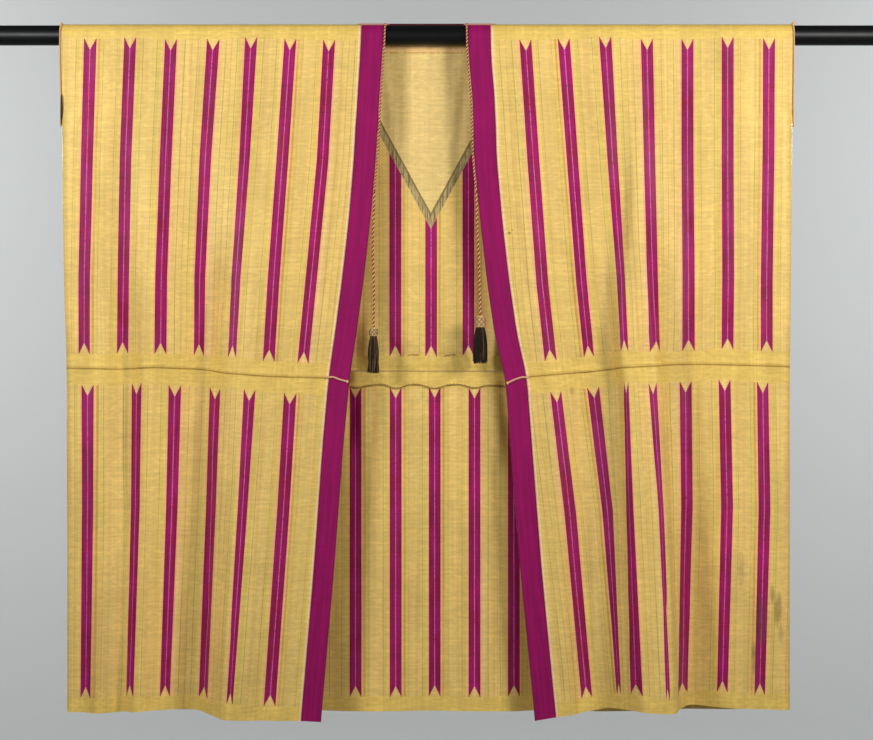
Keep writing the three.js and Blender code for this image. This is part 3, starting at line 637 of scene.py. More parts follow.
class Graph:
    """Short names for the shader nodes of one material.

    u and v are the two coordinates that noise is spread over, in metres: a UV layer's, or else
    the object's own x and z.
    """

    def __init__(self, name, layer=None):
        self.material = bpy.data.materials.new(name)
        self.material.use_nodes = True
        self.tree = self.material.node_tree
        self.shader = self.tree.nodes["Principled BSDF"]
        self.u, self.v = self.uv(layer) if layer else self.object_place()

    def set(self, **values):
        for name, value in values.items():
            self.shader.inputs[name.replace("_", " ")].default_value = value

    def put(self, socket, value):
        if isinstance(value, bpy.types.NodeSocket):
            self.tree.links.new(value, socket)
        elif value is not None:
            socket.default_value = value[:3] if socket.type == "VECTOR" else value

    def node(self, kind, **settings):
        made = self.tree.nodes.new(kind)
        for name, value in settings.items():
            setattr(made, name, value)
        return made

    def math(self, operation, first, second=None, third=None):
        made = self.node("ShaderNodeMath", operation=operation)
        for socket, value in zip(made.inputs, (first, second, third)):
            self.put(socket, value)
        return made.outputs[0]

    def mix(self, factor, first, second):
        made = self.node("ShaderNodeMix", data_type="RGBA")
        for socket, value in zip((made.inputs[0], made.inputs[6], made.inputs[7]), (factor, first, second)):
            self.put(socket, value)
        return made.outputs[2]

    def shade(self, factor, colour, amount):
        """colour times 1 + amount * (factor - 0.5), for the silk's uneven tone."""
        gain = self.math("MULTIPLY_ADD", factor, amount, 1 - amount / 2)
        made = self.node("ShaderNodeVectorMath", operation="SCALE")
        self.put(made.inputs[0], colour)
        self.put(made.inputs["Scale"], gain)
        return made.outputs[0]

    def times(self, first, second):
        return self.math("MULTIPLY", first, second)

    def plus(self, first, second):
        return self.math("ADD", first, second)

    def minus(self, first, second):
        return self.math("SUBTRACT", first, second)

    def parts(self, vector):
        made = self.node("ShaderNodeSeparateXYZ")
        self.put(made.inputs[0], vector)
        return made.outputs

    def uv(self, layer):
        x, y, _ = self.parts(self.node("ShaderNodeUVMap", uv_map=layer).outputs[0])
        return x, y

    def object_place(self):
        x, _, z = self.parts(self.node("ShaderNodeTexCoord").outputs["Object"])
        return x, z

    def vector(self, x, y, z=0.0):
        made = self.node("ShaderNodeCombineXYZ")
        for socket, value in zip(made.inputs, (x, y, z)):
            self.put(socket, value)
        return made.outputs[0]

    def noise(self, across, down, detail=2.0, roughness=0.5, z=0.0):
        """Noise from 0 to 1 over u and v, with so many cells a metre across and down."""
        made = self.node("ShaderNodeTexNoise")
        place = self.vector(self.times(self.u, across), self.times(self.v, down), z)
        self.put(made.inputs["Vector"], place)
        self.put(made.inputs["Scale"], 1.0)
        self.put(made.inputs["Detail"], detail)
        self.put(made.inputs["Roughness"], roughness)
        return made.outputs[0]

    def white(self, value):
        made = self.node("ShaderNodeTexWhiteNoise", noise_dimensions="1D")
        self.put(made.inputs["W"], value)
        return made.outputs["Value"]

    def ramp(self, factor, stops):
        made = self.node("ShaderNodeValToRGB")
        made.color_ramp.interpolation = "LINEAR"
        elements = made.color_ramp.elements
        elements[0].position, elements[0].color = stops[0]
        elements[1].position, elements[1].color = stops[-1]
        for position, colour in stops[1:-1]:
            element = elements.new(position)
            element.color = colour
        self.put(made.inputs[0], factor)
        return made.outputs[0]

    def step(self, value, edge, blur, before, after):
        made = self.node("ShaderNodeMapRange")
        for socket, item in zip(made.inputs[:5], (value, edge - blur, edge + blur, before, after)):
            self.put(socket, item)
        return made.outputs[0]

    def above(self, value, low, blur):
        """1 where value lies above low, with a soft limit."""
        return self.step(value, low, blur, 0, 1)

    def below(self, value, high, blur):
        """1 where value lies below high, with a soft limit."""
        return self.step(value, high, blur, 1, 0)

    def band(self, value, low, high, blur):
        """1 where value lies between low and high, with soft limits."""
        return self.times(self.above(value, low, blur), self.below(value, high, blur))

    def bump(self, height, strength, distance):
        made = self.node("ShaderNodeBump")
        self.put(made.inputs["Strength"], strength)
        self.put(made.inputs["Distance"], distance)
        self.put(made.inputs["Height"], height)
        self.tree.links.new(made.outputs[0], self.shader.inputs["Normal"])


PLAIN = srgb(230, 194, 100)
PLAIN_BACK = srgb(228, 197, 124)
GROUND = srgb(231, 196, 113)
TINT_PEACH = srgb(232, 182, 106)
TINT_GREEN = srgb(220, 196, 96)
PEACH = srgb(246, 168, 126)
PINK = srgb(240, 188, 150)
LIME = srgb(219, 193, 93)
OLIVE = srgb(184, 157, 84)
OCHRE = srgb(205, 156, 76)
NOTCH_PINK = srgb(242, 200, 160)
MAGENTA = srgb(164, 16, 102)
CRIMSON = srgb(136, 16, 66)
EDGE_DARK = srgb(118, 14, 40)
CENTRE_PINK = srgb(218, 112, 166)
CENTRE_CORAL = srgb(232, 92, 112)
MOTIF_DARK = srgb(126, 108, 66)
MOTIF_PALE = srgb(180, 158, 108)
MOTIF_INNER = srgb(118, 98, 46)
# Painted shadow of the waist seam's fold.
PAINTED_SEAM_SHADOW = srgb(158, 118, 40)
STAIN = srgb(74, 60, 46)
NECK_STITCH = srgb(196, 126, 58)
BESIDE_BAND = srgb(251, 208, 168)
BAND_MAGENTA = srgb(150, 10, 90)
BAND_DEEP = srgb(136, 10, 82)
BAND_EDGE_DARK = srgb(108, 8, 56)
BAND_FOLD = srgb(236, 168, 132)
ROD_BLACK = srgb(12, 12, 13)
ROD_DEEP = srgb(6, 6, 6)
BACKDROP_GREY = srgb(192, 194, 194)

# Each thread's own colour and its dark one, and where it isn't the usual, its cells a metre.
THREADS = {
    "whipping": (srgb(146, 102, 54), srgb(92, 60, 32)),
    "red": (srgb(170, 40, 48), srgb(116, 20, 32)),
    "maroon": (srgb(112, 18, 34), srgb(62, 8, 18)),
    "cream": (srgb(240, 204, 150), srgb(204, 156, 104)),
    "pink": (srgb(242, 186, 162), srgb(214, 146, 122)),
    "brown": (srgb(84, 58, 34), srgb(40, 24, 12)),
    "dark": (srgb(58, 40, 24), srgb(12, 8, 5), 500.0),
    "tan": (srgb(150, 114, 76), srgb(60, 40, 24)),
}

CENTRE_LINE = 0.011
NOTCH = 0.021  # depth of the swallow tail, in metres
NOTCH_STEPS = 7

# Warp lines between two stripes: share of the pitch, half width, softness and colour.
HAIRLINES = (
    ((0.163, 0.014, 0.010, PEACH), (0.240, 0.030, 0.016, LIME), (0.328, 0.004, 0.007, OLIVE),
     (0.668, 0.004, 0.007, OLIVE), (0.722, 0.022, 0.014, LIME), (0.838, 0.014, 0.010, PEACH)),
    ((0.163, 0.012, 0.012, PEACH), (0.222, 0.022, 0.012, OCHRE), (0.292, 0.016, 0.010, LIME),
     (0.335, 0.004, 0.006, OLIVE), (0.690, 0.004, 0.008, OLIVE), (0.742, 0.018, 0.012, LIME),
     (0.840, 0.013, 0.009, PEACH)),
    ((0.163, 0.013, 0.010, PEACH), (0.212, 0.008, 0.008, PINK), (0.345, 0.006, 0.008, OLIVE),
     (0.505, 0.003, 0.006, OCHRE), (0.655, 0.005, 0.007, OLIVE), (0.712, 0.014, 0.010, LIME),
     (0.838, 0.014, 0.010, PEACH)),
)

# The woven V below the back of the neck: where it points to, its slope and its upright width.
MOTIF = {"x": 5.4, "drop": 300, "v": SHOULDER_ARC + 347, "slope": 1.82, "width": 29.0}

# Stains on the right front: x, drop, reach across and along, and the share of light left.
STAINS = (
    (627, 1032, 8, 28, 0.5), (618, 1005, 4.5, 18, 0.6), (584, 1108, 6, 16, 0.5),
    (598, 1052, 10, 44, 0.5), (585, 1135, 5, 13, 0.6), (560, 960, 6, 32, 0.75),
    (632, 1075, 5, 16, 0.7), (146, 357, 3, 2.6, 0.35), (151, 352, 2, 1.6, 0.5),
    (258, 640, 5, 7, 0.75),
)

# Uneven dye along warp and weft: noise cells a metre across and down, detail, roughness, depth in
# the noise, and how strongly it shades the silk.
TONES = (
    (950.0, 6.0, 2.0, 0.5, 0.0, 0.2),  # warp threads
    (13.0, 230.0, 3.0, 0.5, 5.0, 0.34),  # weft ribs
    (34.0, 1.6, 2.0, 0.5, 15.0, 0.34),  # long tints down the warp
    (170.0, 3.4, 2.0, 0.5, 17.0, 0.26),  # narrow streaks
    (90.0, 330.0, 2.0, 0.5, 18.0, 0.3),  # flecks
    (8.0, 9.0, 4.0, 0.6, 1.0, 0.4),  # patches
)
HAIRLINE_SWAY = 0.012  # in pitches
SET_LIMITS = (0.36, 0.68)  # where a gap's random number picks the second and third set of lines
BESIDE_BAND_WIDTH = 4.2
MOTIF_INNER_WIDTH = 7
BAND_EDGE = 1.6  # width of a band's darker edge
# v of the pale strip and of the row of stitches under the back of the neck, in metres.
NECK_STRIP = (0.047, 0.0565)
NECK_ROW = (0.0582, 0.0602)
# How far the painted seam shadow reaches to each side of the waist seam, in metres.
SEAM_SHADOW_WIDTH = 0.0013
STRIPE_SLIP = 0.005  # how far the ends of two stripes may differ


def warp_stops(lines):
    """Ramp stops over one pitch, from the middle of one stripe to the middle of the next."""
    stops = [(0.0, PEACH)]
    for place, half, soft, colour in lines:
        stops += [(place - half - soft, GROUND), (place - half, colour)]
        stops += [(place + half, colour), (place + half + soft, GROUND)]
    return stops + [(1.0, PEACH)]


def warp_colour(graph, units):
    """The silk between two stripes: one of three sets of hairlines, over slow tints."""
    cell = graph.math("FLOOR", units)
    wobble = graph.noise(10.0, 9.0)
    share = graph.math("MULTIPLY_ADD", wobble, HAIRLINE_SWAY, graph.minus(units, cell))
    share = graph.minus(share, HAIRLINE_SWAY / 2)
    choice = graph.white(cell)
    second, third = (graph.math("GREATER_THAN", choice, limit) for limit in SET_LIMITS)
    colours = [graph.ramp(share, warp_stops(lines)) for lines in HAIRLINES]
    colour = graph.mix(second, colours[0], colours[1])
    colour = graph.mix(third, colour, colours[2])
    peach = graph.above(graph.noise(130.0, 2.2, z=6.0), 0.54, 0.07)
    green = graph.above(graph.noise(150.0, 2.6, z=8.0), 0.56, 0.06)
    colour = graph.mix(graph.times(peach, 0.55), colour, TINT_PEACH)
    return graph.mix(graph.times(green, 0.28), colour, TINT_GREEN)


def stripe_colour(graph, away, nearer, notch):
    """A magenta stripe with its paler middle line and the swallow tail at its end."""
    streaks = graph.noise(620.0, 7.0, detail=3.0, z=3.0)
    blocks = graph.noise(30.0, 15.0, z=4.0)
    drift = graph.plus(graph.times(streaks, 0.65), graph.times(blocks, 0.35))
    magenta = graph.mix(graph.above(drift, 0.5, 0.06), MAGENTA, CRIMSON)
    rim = graph.above(away, HALF_STRIPE * 0.86, HALF_STRIPE * 0.1)
    magenta = graph.mix(graph.times(rim, 0.75), magenta, EDGE_DARK)
    changes = graph.noise(9.0, 14.0, z=9.0)
    line = graph.mix(graph.above(changes, 0.57, 0.02), CENTRE_PINK, CENTRE_CORAL)
    worn = graph.above(graph.noise(26.0, 330.0, z=16.0), 0.4, 0.08)
    worn = graph.math("MULTIPLY_ADD", worn, 0.6, 0.25)
    middle = graph.times(graph.below(away, CENTRE_LINE, 0.005), worn)
    magenta = graph.mix(middle, magenta, line)
    deepest = graph.below(away, 0.03, 0.016)
    tail = graph.mix(graph.times(deepest, 0.55), PLAIN, NOTCH_PINK)
    return graph.mix(graph.math("GREATER_THAN", nearer, notch), tail, magenta)


def motif_colour(graph, woven, in_length):
    """Plain silk inside the V, and the V itself hatched in olive and pale thread."""
    middle = cloth_place(back, MOTIF["x"], MOTIF["drop"])[0] * MM
    off = graph.math("ABSOLUTE", graph.minus(graph.u, middle))
    reach = graph.math("MULTIPLY_ADD", off, MOTIF["slope"], graph.v)
    past = graph.minus(reach, MOTIF["v"] * MM)
    in_length = graph.times(in_length, graph.math("GREATER_THAN", past, 0.0))
    woven = graph.mix(in_length, PLAIN_BACK, woven)
    hatch = graph.noise(430.0, 30.0, z=7.0)
    hatched = graph.mix(graph.above(hatch, 0.47, 0.05), MOTIF_DARK, MOTIF_PALE)
    width = MOTIF["width"] * MM
    inner = graph.band(past, -width, -(MOTIF["width"] - MOTIF_INNER_WIDTH) * MM, 0.002)
    hatched = graph.mix(graph.times(inner, 0.7), hatched, MOTIF_INNER)
    return graph.mix(graph.band(past, -width, 0.0, 0.0006), woven, hatched)


def neck_stitching(graph, woven):
    """The pale strip under the back of the neck, and the row of brown stitches below it."""
    start, end = (place * MM for place in neck_band_ends())
    near = graph.band(graph.u, start, end, 0.0005)
    strip = graph.times(graph.band(graph.v, *NECK_STRIP, 0.0008), near)
    woven = graph.mix(graph.times(strip, 0.3), woven, PEACH)
    gaps = graph.above(graph.noise(210.0, 20.0, z=14.0), 0.42, 0.03)
    gaps = graph.times(gaps, near)
    row = graph.times(graph.band(graph.v, *NECK_ROW, 0.0004), gaps)
    return graph.mix(graph.times(row, 0.8), woven, NECK_STITCH)


def stain_gain(graph, colour, stains):
    """Darkens soft uneven patches, given in metres on the cloth."""
    for at_u, at_v, across, along, gain in stains:
        x = graph.math("DIVIDE", graph.minus(graph.u, at_u), across)
        y = graph.math("DIVIDE", graph.minus(graph.v, at_v), along)
        away = graph.plus(graph.times(x, x), graph.times(y, y))
        ragged = graph.noise(260.0, 40.0, detail=3.0, z=11.0)
        away = graph.plus(away, graph.times(graph.minus(ragged, 0.5), 2.0))
        amount = graph.times(graph.below(away, 0.8, 0.7), 1 - gain)
        colour = graph.mix(amount, colour, STAIN)
    return colour


def silk_material(name, tier, front=True, stains=()):
    """Striped silk of one tier: pattern counts its stripes across and its own length down."""
    graph = Graph(name, "cloth")
    units, level = graph.uv("pattern")
    top, bottom = (end * MM for end in STRIPE_ENDS[tier])

    nearest = graph.math("ROUND", units)
    away = graph.math("ABSOLUTE", graph.minus(units, nearest))
    into = graph.minus(1.0, graph.math("DIVIDE", away, HALF_STRIPE))
    stepped = graph.math("FLOOR", graph.times(into, NOTCH_STEPS))
    stepped = graph.math("DIVIDE", stepped, NOTCH_STEPS)
    notch = graph.times(graph.math("MAXIMUM", stepped, 0.0), NOTCH)
    uneven = graph.times(graph.minus(graph.white(nearest), 0.5), STRIPE_SLIP)
    from_top = graph.minus(level, graph.plus(top, uneven))
    from_bottom = graph.minus(graph.plus(bottom, uneven), level)
    nearer = graph.math("MINIMUM", from_top, from_bottom)
    in_length = graph.math("GREATER_THAN", nearer, 0.0)

    warp = warp_colour(graph, units)
    stripe = stripe_colour(graph, away, nearer, notch)
    woven = graph.mix(graph.math("LESS_THAN", away, HALF_STRIPE), warp, stripe)
    if tier == "upper" and not front:
        woven = motif_colour(graph, woven, in_length)
        woven = neck_stitching(graph, woven)
    else:
        woven = graph.mix(in_length, PLAIN, woven)
    if front:
        edge = (FRONT_CLOTH - BAND) * MM
        strip = graph.band(graph.u, (FRONT_CLOTH - BAND - BESIDE_BAND_WIDTH) * MM, edge, 0.0004)
        woven = graph.mix(graph.times(strip, 0.85), woven, BESIDE_BAND)
    # A thin dark ochre line along the waist seam is painted shadow of the seam's fold.
    at_seam = UPPER_LENGTH * MM if tier == "upper" else 0.0
    from_seam = graph.math("ABSOLUTE", graph.minus(level, at_seam))
    seam = graph.times(graph.below(from_seam, SEAM_SHADOW_WIDTH, 0.0006), 0.75)
    woven = graph.mix(seam, woven, PAINTED_SEAM_SHADOW)
    woven = stain_gain(graph, woven, stains)

    for across, down, detail, roughness, depth, strength in TONES:
        woven = graph.shade(graph.noise(across, down, detail, roughness, depth), woven, strength)
    # The watered look of the pressed silk.
    water = graph.math("SINE", graph.times(graph.noise(11.0, 30.0, z=12.0), 46.0))
    woven = graph.shade(graph.above(water, 0.55, 0.3), woven, 0.07)
    graph.put(graph.shader.inputs["Base Color"], woven)
    graph.set(Roughness=0.5, Sheen_Weight=0.06, Sheen_Roughness=0.4, Specular_IOR_Level=0.22)
    weave = graph.plus(graph.noise(1500.0, 60.0, z=2.0),
                       graph.times(graph.noise(60.0, 900.0, z=4.0), 1.3))
    graph.bump(weave, 0.35, 0.0006)
    return graph.material


def band_material(name, start, end):
    """Plain magenta silk with ribs across, a paler fold over the shoulder and darker edges."""
    graph = Graph(name, "cloth")
    tone = graph.noise(120.0, 7.0, detail=3.0)
    ribs = graph.noise(14.0, 560.0, z=2.0)
    wear = graph.noise(30.0, 30.0, detail=4.0, z=3.0)
    colour = graph.mix(graph.above(tone, 0.5, 0.1), BAND_MAGENTA, BAND_DEEP)
    colour = graph.shade(ribs, colour, 0.3)
    colour = graph.shade(wear, colour, 0.25)
    edge = graph.band(graph.u, (start + BAND_EDGE) * MM, (end - BAND_EDGE) * MM, 0.0009)
    colour = graph.mix(edge, BAND_EDGE_DARK, colour)
    fold = graph.below(graph.v, 0.0125, 0.0015)
    colour = graph.mix(graph.times(fold, 0.9), colour, BAND_FOLD)
    graph.put(graph.shader.inputs["Base Color"], colour)
    graph.set(Roughness=0.6, Sheen_Weight=0.05, Sheen_Roughness=0.4, Specular_IOR_Level=0.15)
    graph.bump(ribs, 0.4, 0.0005)
    return graph.material


def thread_material(name, colour, dark, scale=900.0):
    """Spun thread: a tone that changes along it, and fine fibres as bump."""
    graph = Graph(name)
    tone = graph.noise(scale, scale * 0.4, detail=3.0)
    graph.put(graph.shader.inputs["Base Color"], graph.mix(tone, dark, colour))
    graph.set(Roughness=0.8, Sheen_Weight=0.1, Specular_IOR_Level=0.2)
    graph.bump(tone, 0.4, 0.0004)
    return graph.material


def rod_material():
    graph = Graph("rod_black")
    grain = graph.noise(30.0, 400.0, detail=4.0)
    graph.put(graph.shader.inputs["Base Color"], graph.mix(grain, ROD_DEEP, ROD_BLACK))
    graph.put(graph.shader.inputs["Roughness"], graph.math("MULTIPLY_ADD", grain, 0.12, 0.36))
    graph.set(Specular_IOR_Level=0.22)
    graph.bump(grain, 0.08, 0.0003)
    return graph.material


def stage_material():
    graph = Graph("backdrop")
    grain = graph.noise(3.0, 3.0)
    graph.put(graph.shader.inputs["Base Color"], graph.shade(grain, BACKDROP_GREY, 0.02))
    graph.set(Roughness=0.95, Specular_IOR_Level=0.1)
    return graph.material


# ---- cords and threads ----


def frames_along(points):
    """Two steady crosswise directions at each point of a path."""
    tangents = np.gradient(points, axis=0)
    tangents /= np.linalg.norm(tangents, axis=1, keepdims=True)
    side = np.cross(tangents[0], [0.0, 1.0, 0.0])
    if np.linalg.norm(side) < 0.1:
        side = np.cross(tangents[0], [1.0, 0.0, 0.0])
    sides = []
    for tangent in tangents:
        side = side - tangent * np.dot(side, tangent)
        side = side / np.linalg.norm(side)
        sides.append(side)
    sides = np.array(sides)
    return sides, np.cross(tangents, sides)


def resampled(points, step):
    """A smooth path through given points, with even steps."""
    points = np.asarray(points, float)
    ends = [2 * points[0] - points[1], 2 * points[-1] - points[-2]]
    padded = np.vstack([ends[0], points, ends[1]])
    fine = []
    for k in range(len(points) - 1):
        a, b, c, d = padded[k:k + 4]
        for t in np.linspace(0, 1, 12, endpoint=False):
            fine.append(0.5 * (2 * b + (c - a) * t + (2 * a - 5 * b + 4 * c - d) * t ** 2
                               + (3 * b - a - 3 * c + d) * t ** 3))
    fine.append(points[-1])
    fine = np.array(fine)
    length = np.concatenate([[0], np.cumsum(np.linalg.norm(np.diff(fine, axis=0), axis=1))])
    count = max(int(length[-1] / step), 2)
    at = np.linspace(0, length[-1], count + 1)
    return np.stack([np.interp(at, length, fine[:, k]) for k in range(3)], axis=1)


def full_turn(count):
    """Angles of so many even steps round."""
    return np.linspace(0, 2 * math.pi, count, endpoint=False)


def ring_faces(rings, sides):
    """Faces that join each ring of vertices to the next one."""
    faces = []
    for start in range(0, (rings - 1) * sides, sides):
        for j in range(sides):
            a, b = start + j, start + (j + 1) % sides
            faces.append([a, b, b + sides, a + sides])
    return faces


def turned_over(faces):
    return [[a, d, c, b] for a, b, c, d in faces]


def tube(points, radii, sides):
    """Vertices and faces of a closed tube along a path."""
    side, up = frames_along(points)
    turns = full_turn(sides)
    radii = np.broadcast_to(radii, (len(points),))
    ring = (np.cos(turns)[None, :, None] * side[:, None] + np.sin(turns)[None, :, None] * up[:, None])
    vertices = (points[:, None] + ring * radii[:, None, None]).reshape(-1, 3)
    faces = ring_faces(len(points), sides)
    faces.append(list(range(sides))[::-1])
    faces.append([(len(points) - 1) * sides + j for j in range(sides)])
    return vertices, faces


def joined_mesh(name, parts, materials):
    """One object from (vertices, faces, material number) parts, vertices in millimetres."""
    vertices, faces, indices = [], [], []
    for part_vertices, part_faces, number in parts:
        start = len(vertices)
        vertices.extend(part_vertices * MM)
        faces.extend([[i + start for i in face] for face in part_faces])
        indices.extend([number] * len(part_faces))
    return make_object(name, vertices, faces, materials, indices)


def twisted(points, radius, pitch, per_turn=10, sides=6):
    """Tubes of the two plies of a twisted cord along a path, one material number for each ply."""
    path = resampled(points, pitch / per_turn)
    side, up = frames_along(path)
    turn = np.arange(len(path)) * 2 * math.pi / per_turn
    ply_radius = radius * PLY_SHARE
    parts = []
    for ply in range(2):
        phase = turn + ply * math.pi
        offset = side * np.cos(phase)[:, None] + up * np.sin(phase)[:, None]
        parts.append((*tube(path + offset * (radius - ply_radius), ply_radius, sides), ply))
    return parts


def beside_edge(surface, v):
    """Points of the neck cord's line, just past the opening edge and out from the cloth."""
    v = np.atleast_1d(np.asarray(v, float))
    edge = surface.point(np.full_like(v, FRONT_CLOTH), v)
    before = surface.point(np.full_like(v, FRONT_CLOTH - 1), v)
    below = surface.point(np.full_like(v, FRONT_CLOTH), v + 0.5)
    along = edge - before
    normal = np.cross(along, below - edge) * surface.outward
    along /= np.linalg.norm(along, axis=1, keepdims=True)
    normal /= np.linalg.norm(normal, axis=1, keepdims=True)
    return edge + along * CORD_BESIDE + normal * CORD_OUT


def on_surface(surface, u, v, out):
    """Points on a surface, moved out from it."""
    u, v = np.broadcast_arrays(np.asarray(u, float), np.asarray(v, float))
    point = surface.point(u, v)
    low = np.clip(u, 0, surface.width - 0.5)
    along = surface.point(low + 0.5, v) - surface.point(low, v)
    below = surface.point(u, v + 0.5) - point
    normal = np.cross(along, below) * surface.outward
    normal /= np.linalg.norm(normal, axis=-1, keepdims=True)
    return point + normal * np.asarray(out)[..., None]


# ---- the pieces ----

materials = {}


def make_materials():
    stains = {"upper": [], "lower": []}
    for x, drop, across, along, gain in STAINS:
        at_u, at_v = cloth_place(fronts["right"], x, drop)
        tier = "upper" if drop < WAIST else "lower"
        stains[tier].append((at_u * MM, at_v * MM, across * MM, along * MM, gain))
    for tier, marked in (("upper", "spotted"), ("lower", "stained")):
        materials[f"front_left_{tier}"] = silk_material(f"silk_{tier}", tier)
        name = f"silk_{tier}_{marked}"
        materials[f"front_right_{tier}"] = silk_material(name, tier, stains=stains[tier])
        materials[f"back_{tier}"] = silk_material(f"silk_{tier}_back", tier, front=False)
    materials["band"] = band_material("silk_magenta", FRONT_CLOTH - BAND, FRONT_CLOTH)
    materials["neck_band"] = band_material("silk_magenta_neck", *neck_band_ends())
    for name, tones in THREADS.items():
        materials[name] = thread_material(f"thread_{name}", *tones)
    materials["rod"] = rod_material()


def seat(piece, node):
    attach(piece, "root")
    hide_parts(node)
    return piece


# Flat width of a front's and the back's silks, and the heights of the upper and lower piece, in metres.
FLAT = {-1: (0.583, 0.64, 0.615), 1: (1.345, 0.635, 0.615)}


def add_silks():
    """Each stretch hangs in two pieces: the upper one rests on the rod and the lower one on it."""
    for surface in (*fronts.values(), back):
        width, upper_height, lower_height = FLAT[surface.facing]
        top = neck_top if surface is back else front_top

        def above_seam(u):
            return surface.waist(u) - GAP / 2

        def below_seam(u):
            return surface.waist(u) + GAP / 2

        for tier, start, end, height, holder in (
            ("upper", top, above_seam, upper_height, "rod_smooth"),
            ("lower", below_seam, surface.hem, lower_height, f"silk_{surface.name}_upper"),
        ):
            name = f"{surface.name}_{tier}"
            piece = add_silk(surface, tier, start, end, materials[name])
            seat(piece, name)


def strip_shell(name, surface, u, shares, v_of, middle, thickness, material, height_of=None):
    """A thin shell laid on a surface: v_of gives v for each u and share down the strip."""
    grid_u = np.broadcast_to(u[None, :], (len(shares), len(u))).copy()
    grid_v = np.stack([v_of(u, share) for share in shares])
    height = height_of(grid_u, grid_v) if height_of else 0.0
    points = on_surface(surface, grid_u, grid_v, middle + height)
    from_waist = np.abs(grid_v - surface.waist(grid_u))
    uvs = {
        "cloth": np.stack([grid_u, grid_v], axis=-1) * MM,
        # On the allowances the level counts from the waist seam, so they take the painted seam shadow too.
        "pattern": np.stack([np.full_like(grid_u, 0.5), -from_waist * MM], axis=-1),
    }
    return shell(name, surface, points, thickness, material, uvs)


def neck_band_ends():
    """u of the two ends of the band round the back of the neck."""
    return neck_start + NECK_BAND["left"] - NECK["left"], neck_end + NECK_BAND["right"] - NECK["right"]


def add_bands():
    columns, rows = BAND_GRID
    us = np.linspace(FRONT_CLOTH - BAND, FRONT_CLOTH, columns)
    arc = SHOULDER_ARC / (HEM + SHOULDER_ARC)
    over_rod = np.linspace(0, arc, SHOULDER_ROWS + 1)[:-1]
    shares = np.concatenate([over_rod, np.linspace(arc, 1, rows)])
    for side, surface in fronts.items():
        def v_of(u, share):
            return GAP / 2 + (surface.hem(u) - GAP / 2) * share

        def height_of(u, v):
            return front_height(surface, u, v)

        piece = strip_shell(f"silk_band_{side}", surface, us, shares, v_of, BAND_MIDDLE,
                            BAND_SILK, materials["band"], height_of)
        seat(piece, f"band_{side}")
    columns, rows = NECK_BAND_GRID
    us = np.linspace(*neck_band_ends(), columns)
    piece = strip_shell("silk_neck_band", back, us, np.linspace(0, 1, rows),
                        lambda u, share: neck_top(u) + (NECK_BAND["height"] - neck_top(u)) * share,
                        BAND_MIDDLE + GAP, BAND_SILK, materials["neck_band"])
    seat(piece, "neck_band")


def loose_edge(u):
    """How far the loose edge of an allowance strays, in a scallop to each of the back's stripes."""
    middles, pitch = BACK_STRIPES["back_lower"]
    at_stripe = cloth_place(back, middles[2], WAIST + ALLOWANCE)[0]
    scallop = np.abs(np.cos((u - at_stripe) / pitch * math.pi)) ** 3
    depth, mean = 5.6, 0.42
    return depth * (scallop - mean) + 0.9 * uneven_wave(u, 0.083, 1.9, 0.021)


def allowance_height(way):
    """The back silk's relief at a turned edge, with the edge's own small wrinkles and rolled fold."""
    tier = "upper" if way == "up" else "lower"

    def height_of(u, v):
        from_seam = np.abs(v - back.waist(u))
        loose = smooth(from_seam, 2, 20)
        wrinkles = 0.5 * uneven_wave(u, 0.21, 2.3, 0.037) + 0.35 * np.sin(u * 0.093 + v * 0.11)
        roll = 0.7 * np.exp(-((from_seam / 2.2) ** 2))
        return silk_height(back, tier, u, v) - loose * (0.85 + wrinkles) + roll

    return height_of


def add_allowances():
    columns, rows = ALLOWANCE_GRID
    us = np.linspace(ALLOWANCE_INSET, BACK_CLOTH - ALLOWANCE_INSET, columns)
    for way, top, bottom in (("up", -ALLOWANCE, -GAP / 2), ("down", GAP / 2, ALLOWANCE)):
        def v_of(u, share):
            loose = 1 - share if way == "up" else share
            return back.waist(u) + top + (bottom - top) * share + loose_edge(u) * loose

        piece = strip_shell(f"silk_allowance_{way}", back, us, np.linspace(0, 1, rows), v_of, -BAND_MIDDLE,
                            ALLOWANCE_SILK, materials["back_lower"], allowance_height(way))
        seat(piece, f"allowance_{way}")


def add_overcasting():
    """Brown thread whipped over the loose edges of the seam allowances."""
    radius, step, inset = 0.55, 2.6, 1.5
    out = -(CLOTH / 2 + GAP + TRIM + radius + 0.15)
    lower, upper = ALLOWANCE - inset, inset - ALLOWANCE
    edges = (
        (ALLOWANCE_INSET, BACK_CLOTH - ALLOWANCE_INSET, lower, "down"),
        (634, 656, upper, "up"),
        (702, 723, upper, "up"),
    )
    parts = []
    for start, end, below, way in edges:
        us = np.arange(start, end, step)
        wave = 1.2 * uneven_wave(us, 1.1, 1.3, 0.19) + loose_edge(us)
        v = back.waist(us) + below + wave
        path = on_surface(back, us, v, out + allowance_height(way)(us, v))
        parts.append((*tube(path, radius, 5), 0))
    piece = joined_mesh("thread_overcasting", parts, [materials["whipping"]])
    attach(piece, "root")


def add_neck_cord():
    def up(side):
        v = np.concatenate([
            np.linspace(SHOULDER_ARC + NECK_CORD_DROP, SHOULDER_ARC, 18),
            np.linspace(SHOULDER_ARC, 0, 8)[1:],
        ])
        return beside_edge(fronts[side], v)

    across = np.linspace(neck_start + NECK["turn"], neck_end - NECK["turn"], 9)
    behind = on_surface(back, across, neck_top(across) - CORD_BESIDE, CORD_OUT)
    points = np.vstack([up("left"), behind, up("right")[::-1]])
    turned_in = 9.0
    radius, pitch = 1.9, 6.5
    piece = joined_mesh("cord_neck", twisted(points, radius, pitch),
                        [materials["red"], materials["cream"], materials["maroon"]])
    for polygon in piece.data.polygons:
        x = polygon.center.x / MM
        if polygon.center.z > 0 and NECK["left"] + turned_in < x < NECK["right"] - turned_in:
            polygon.material_index = 2
    seat(piece, "neck_cord")


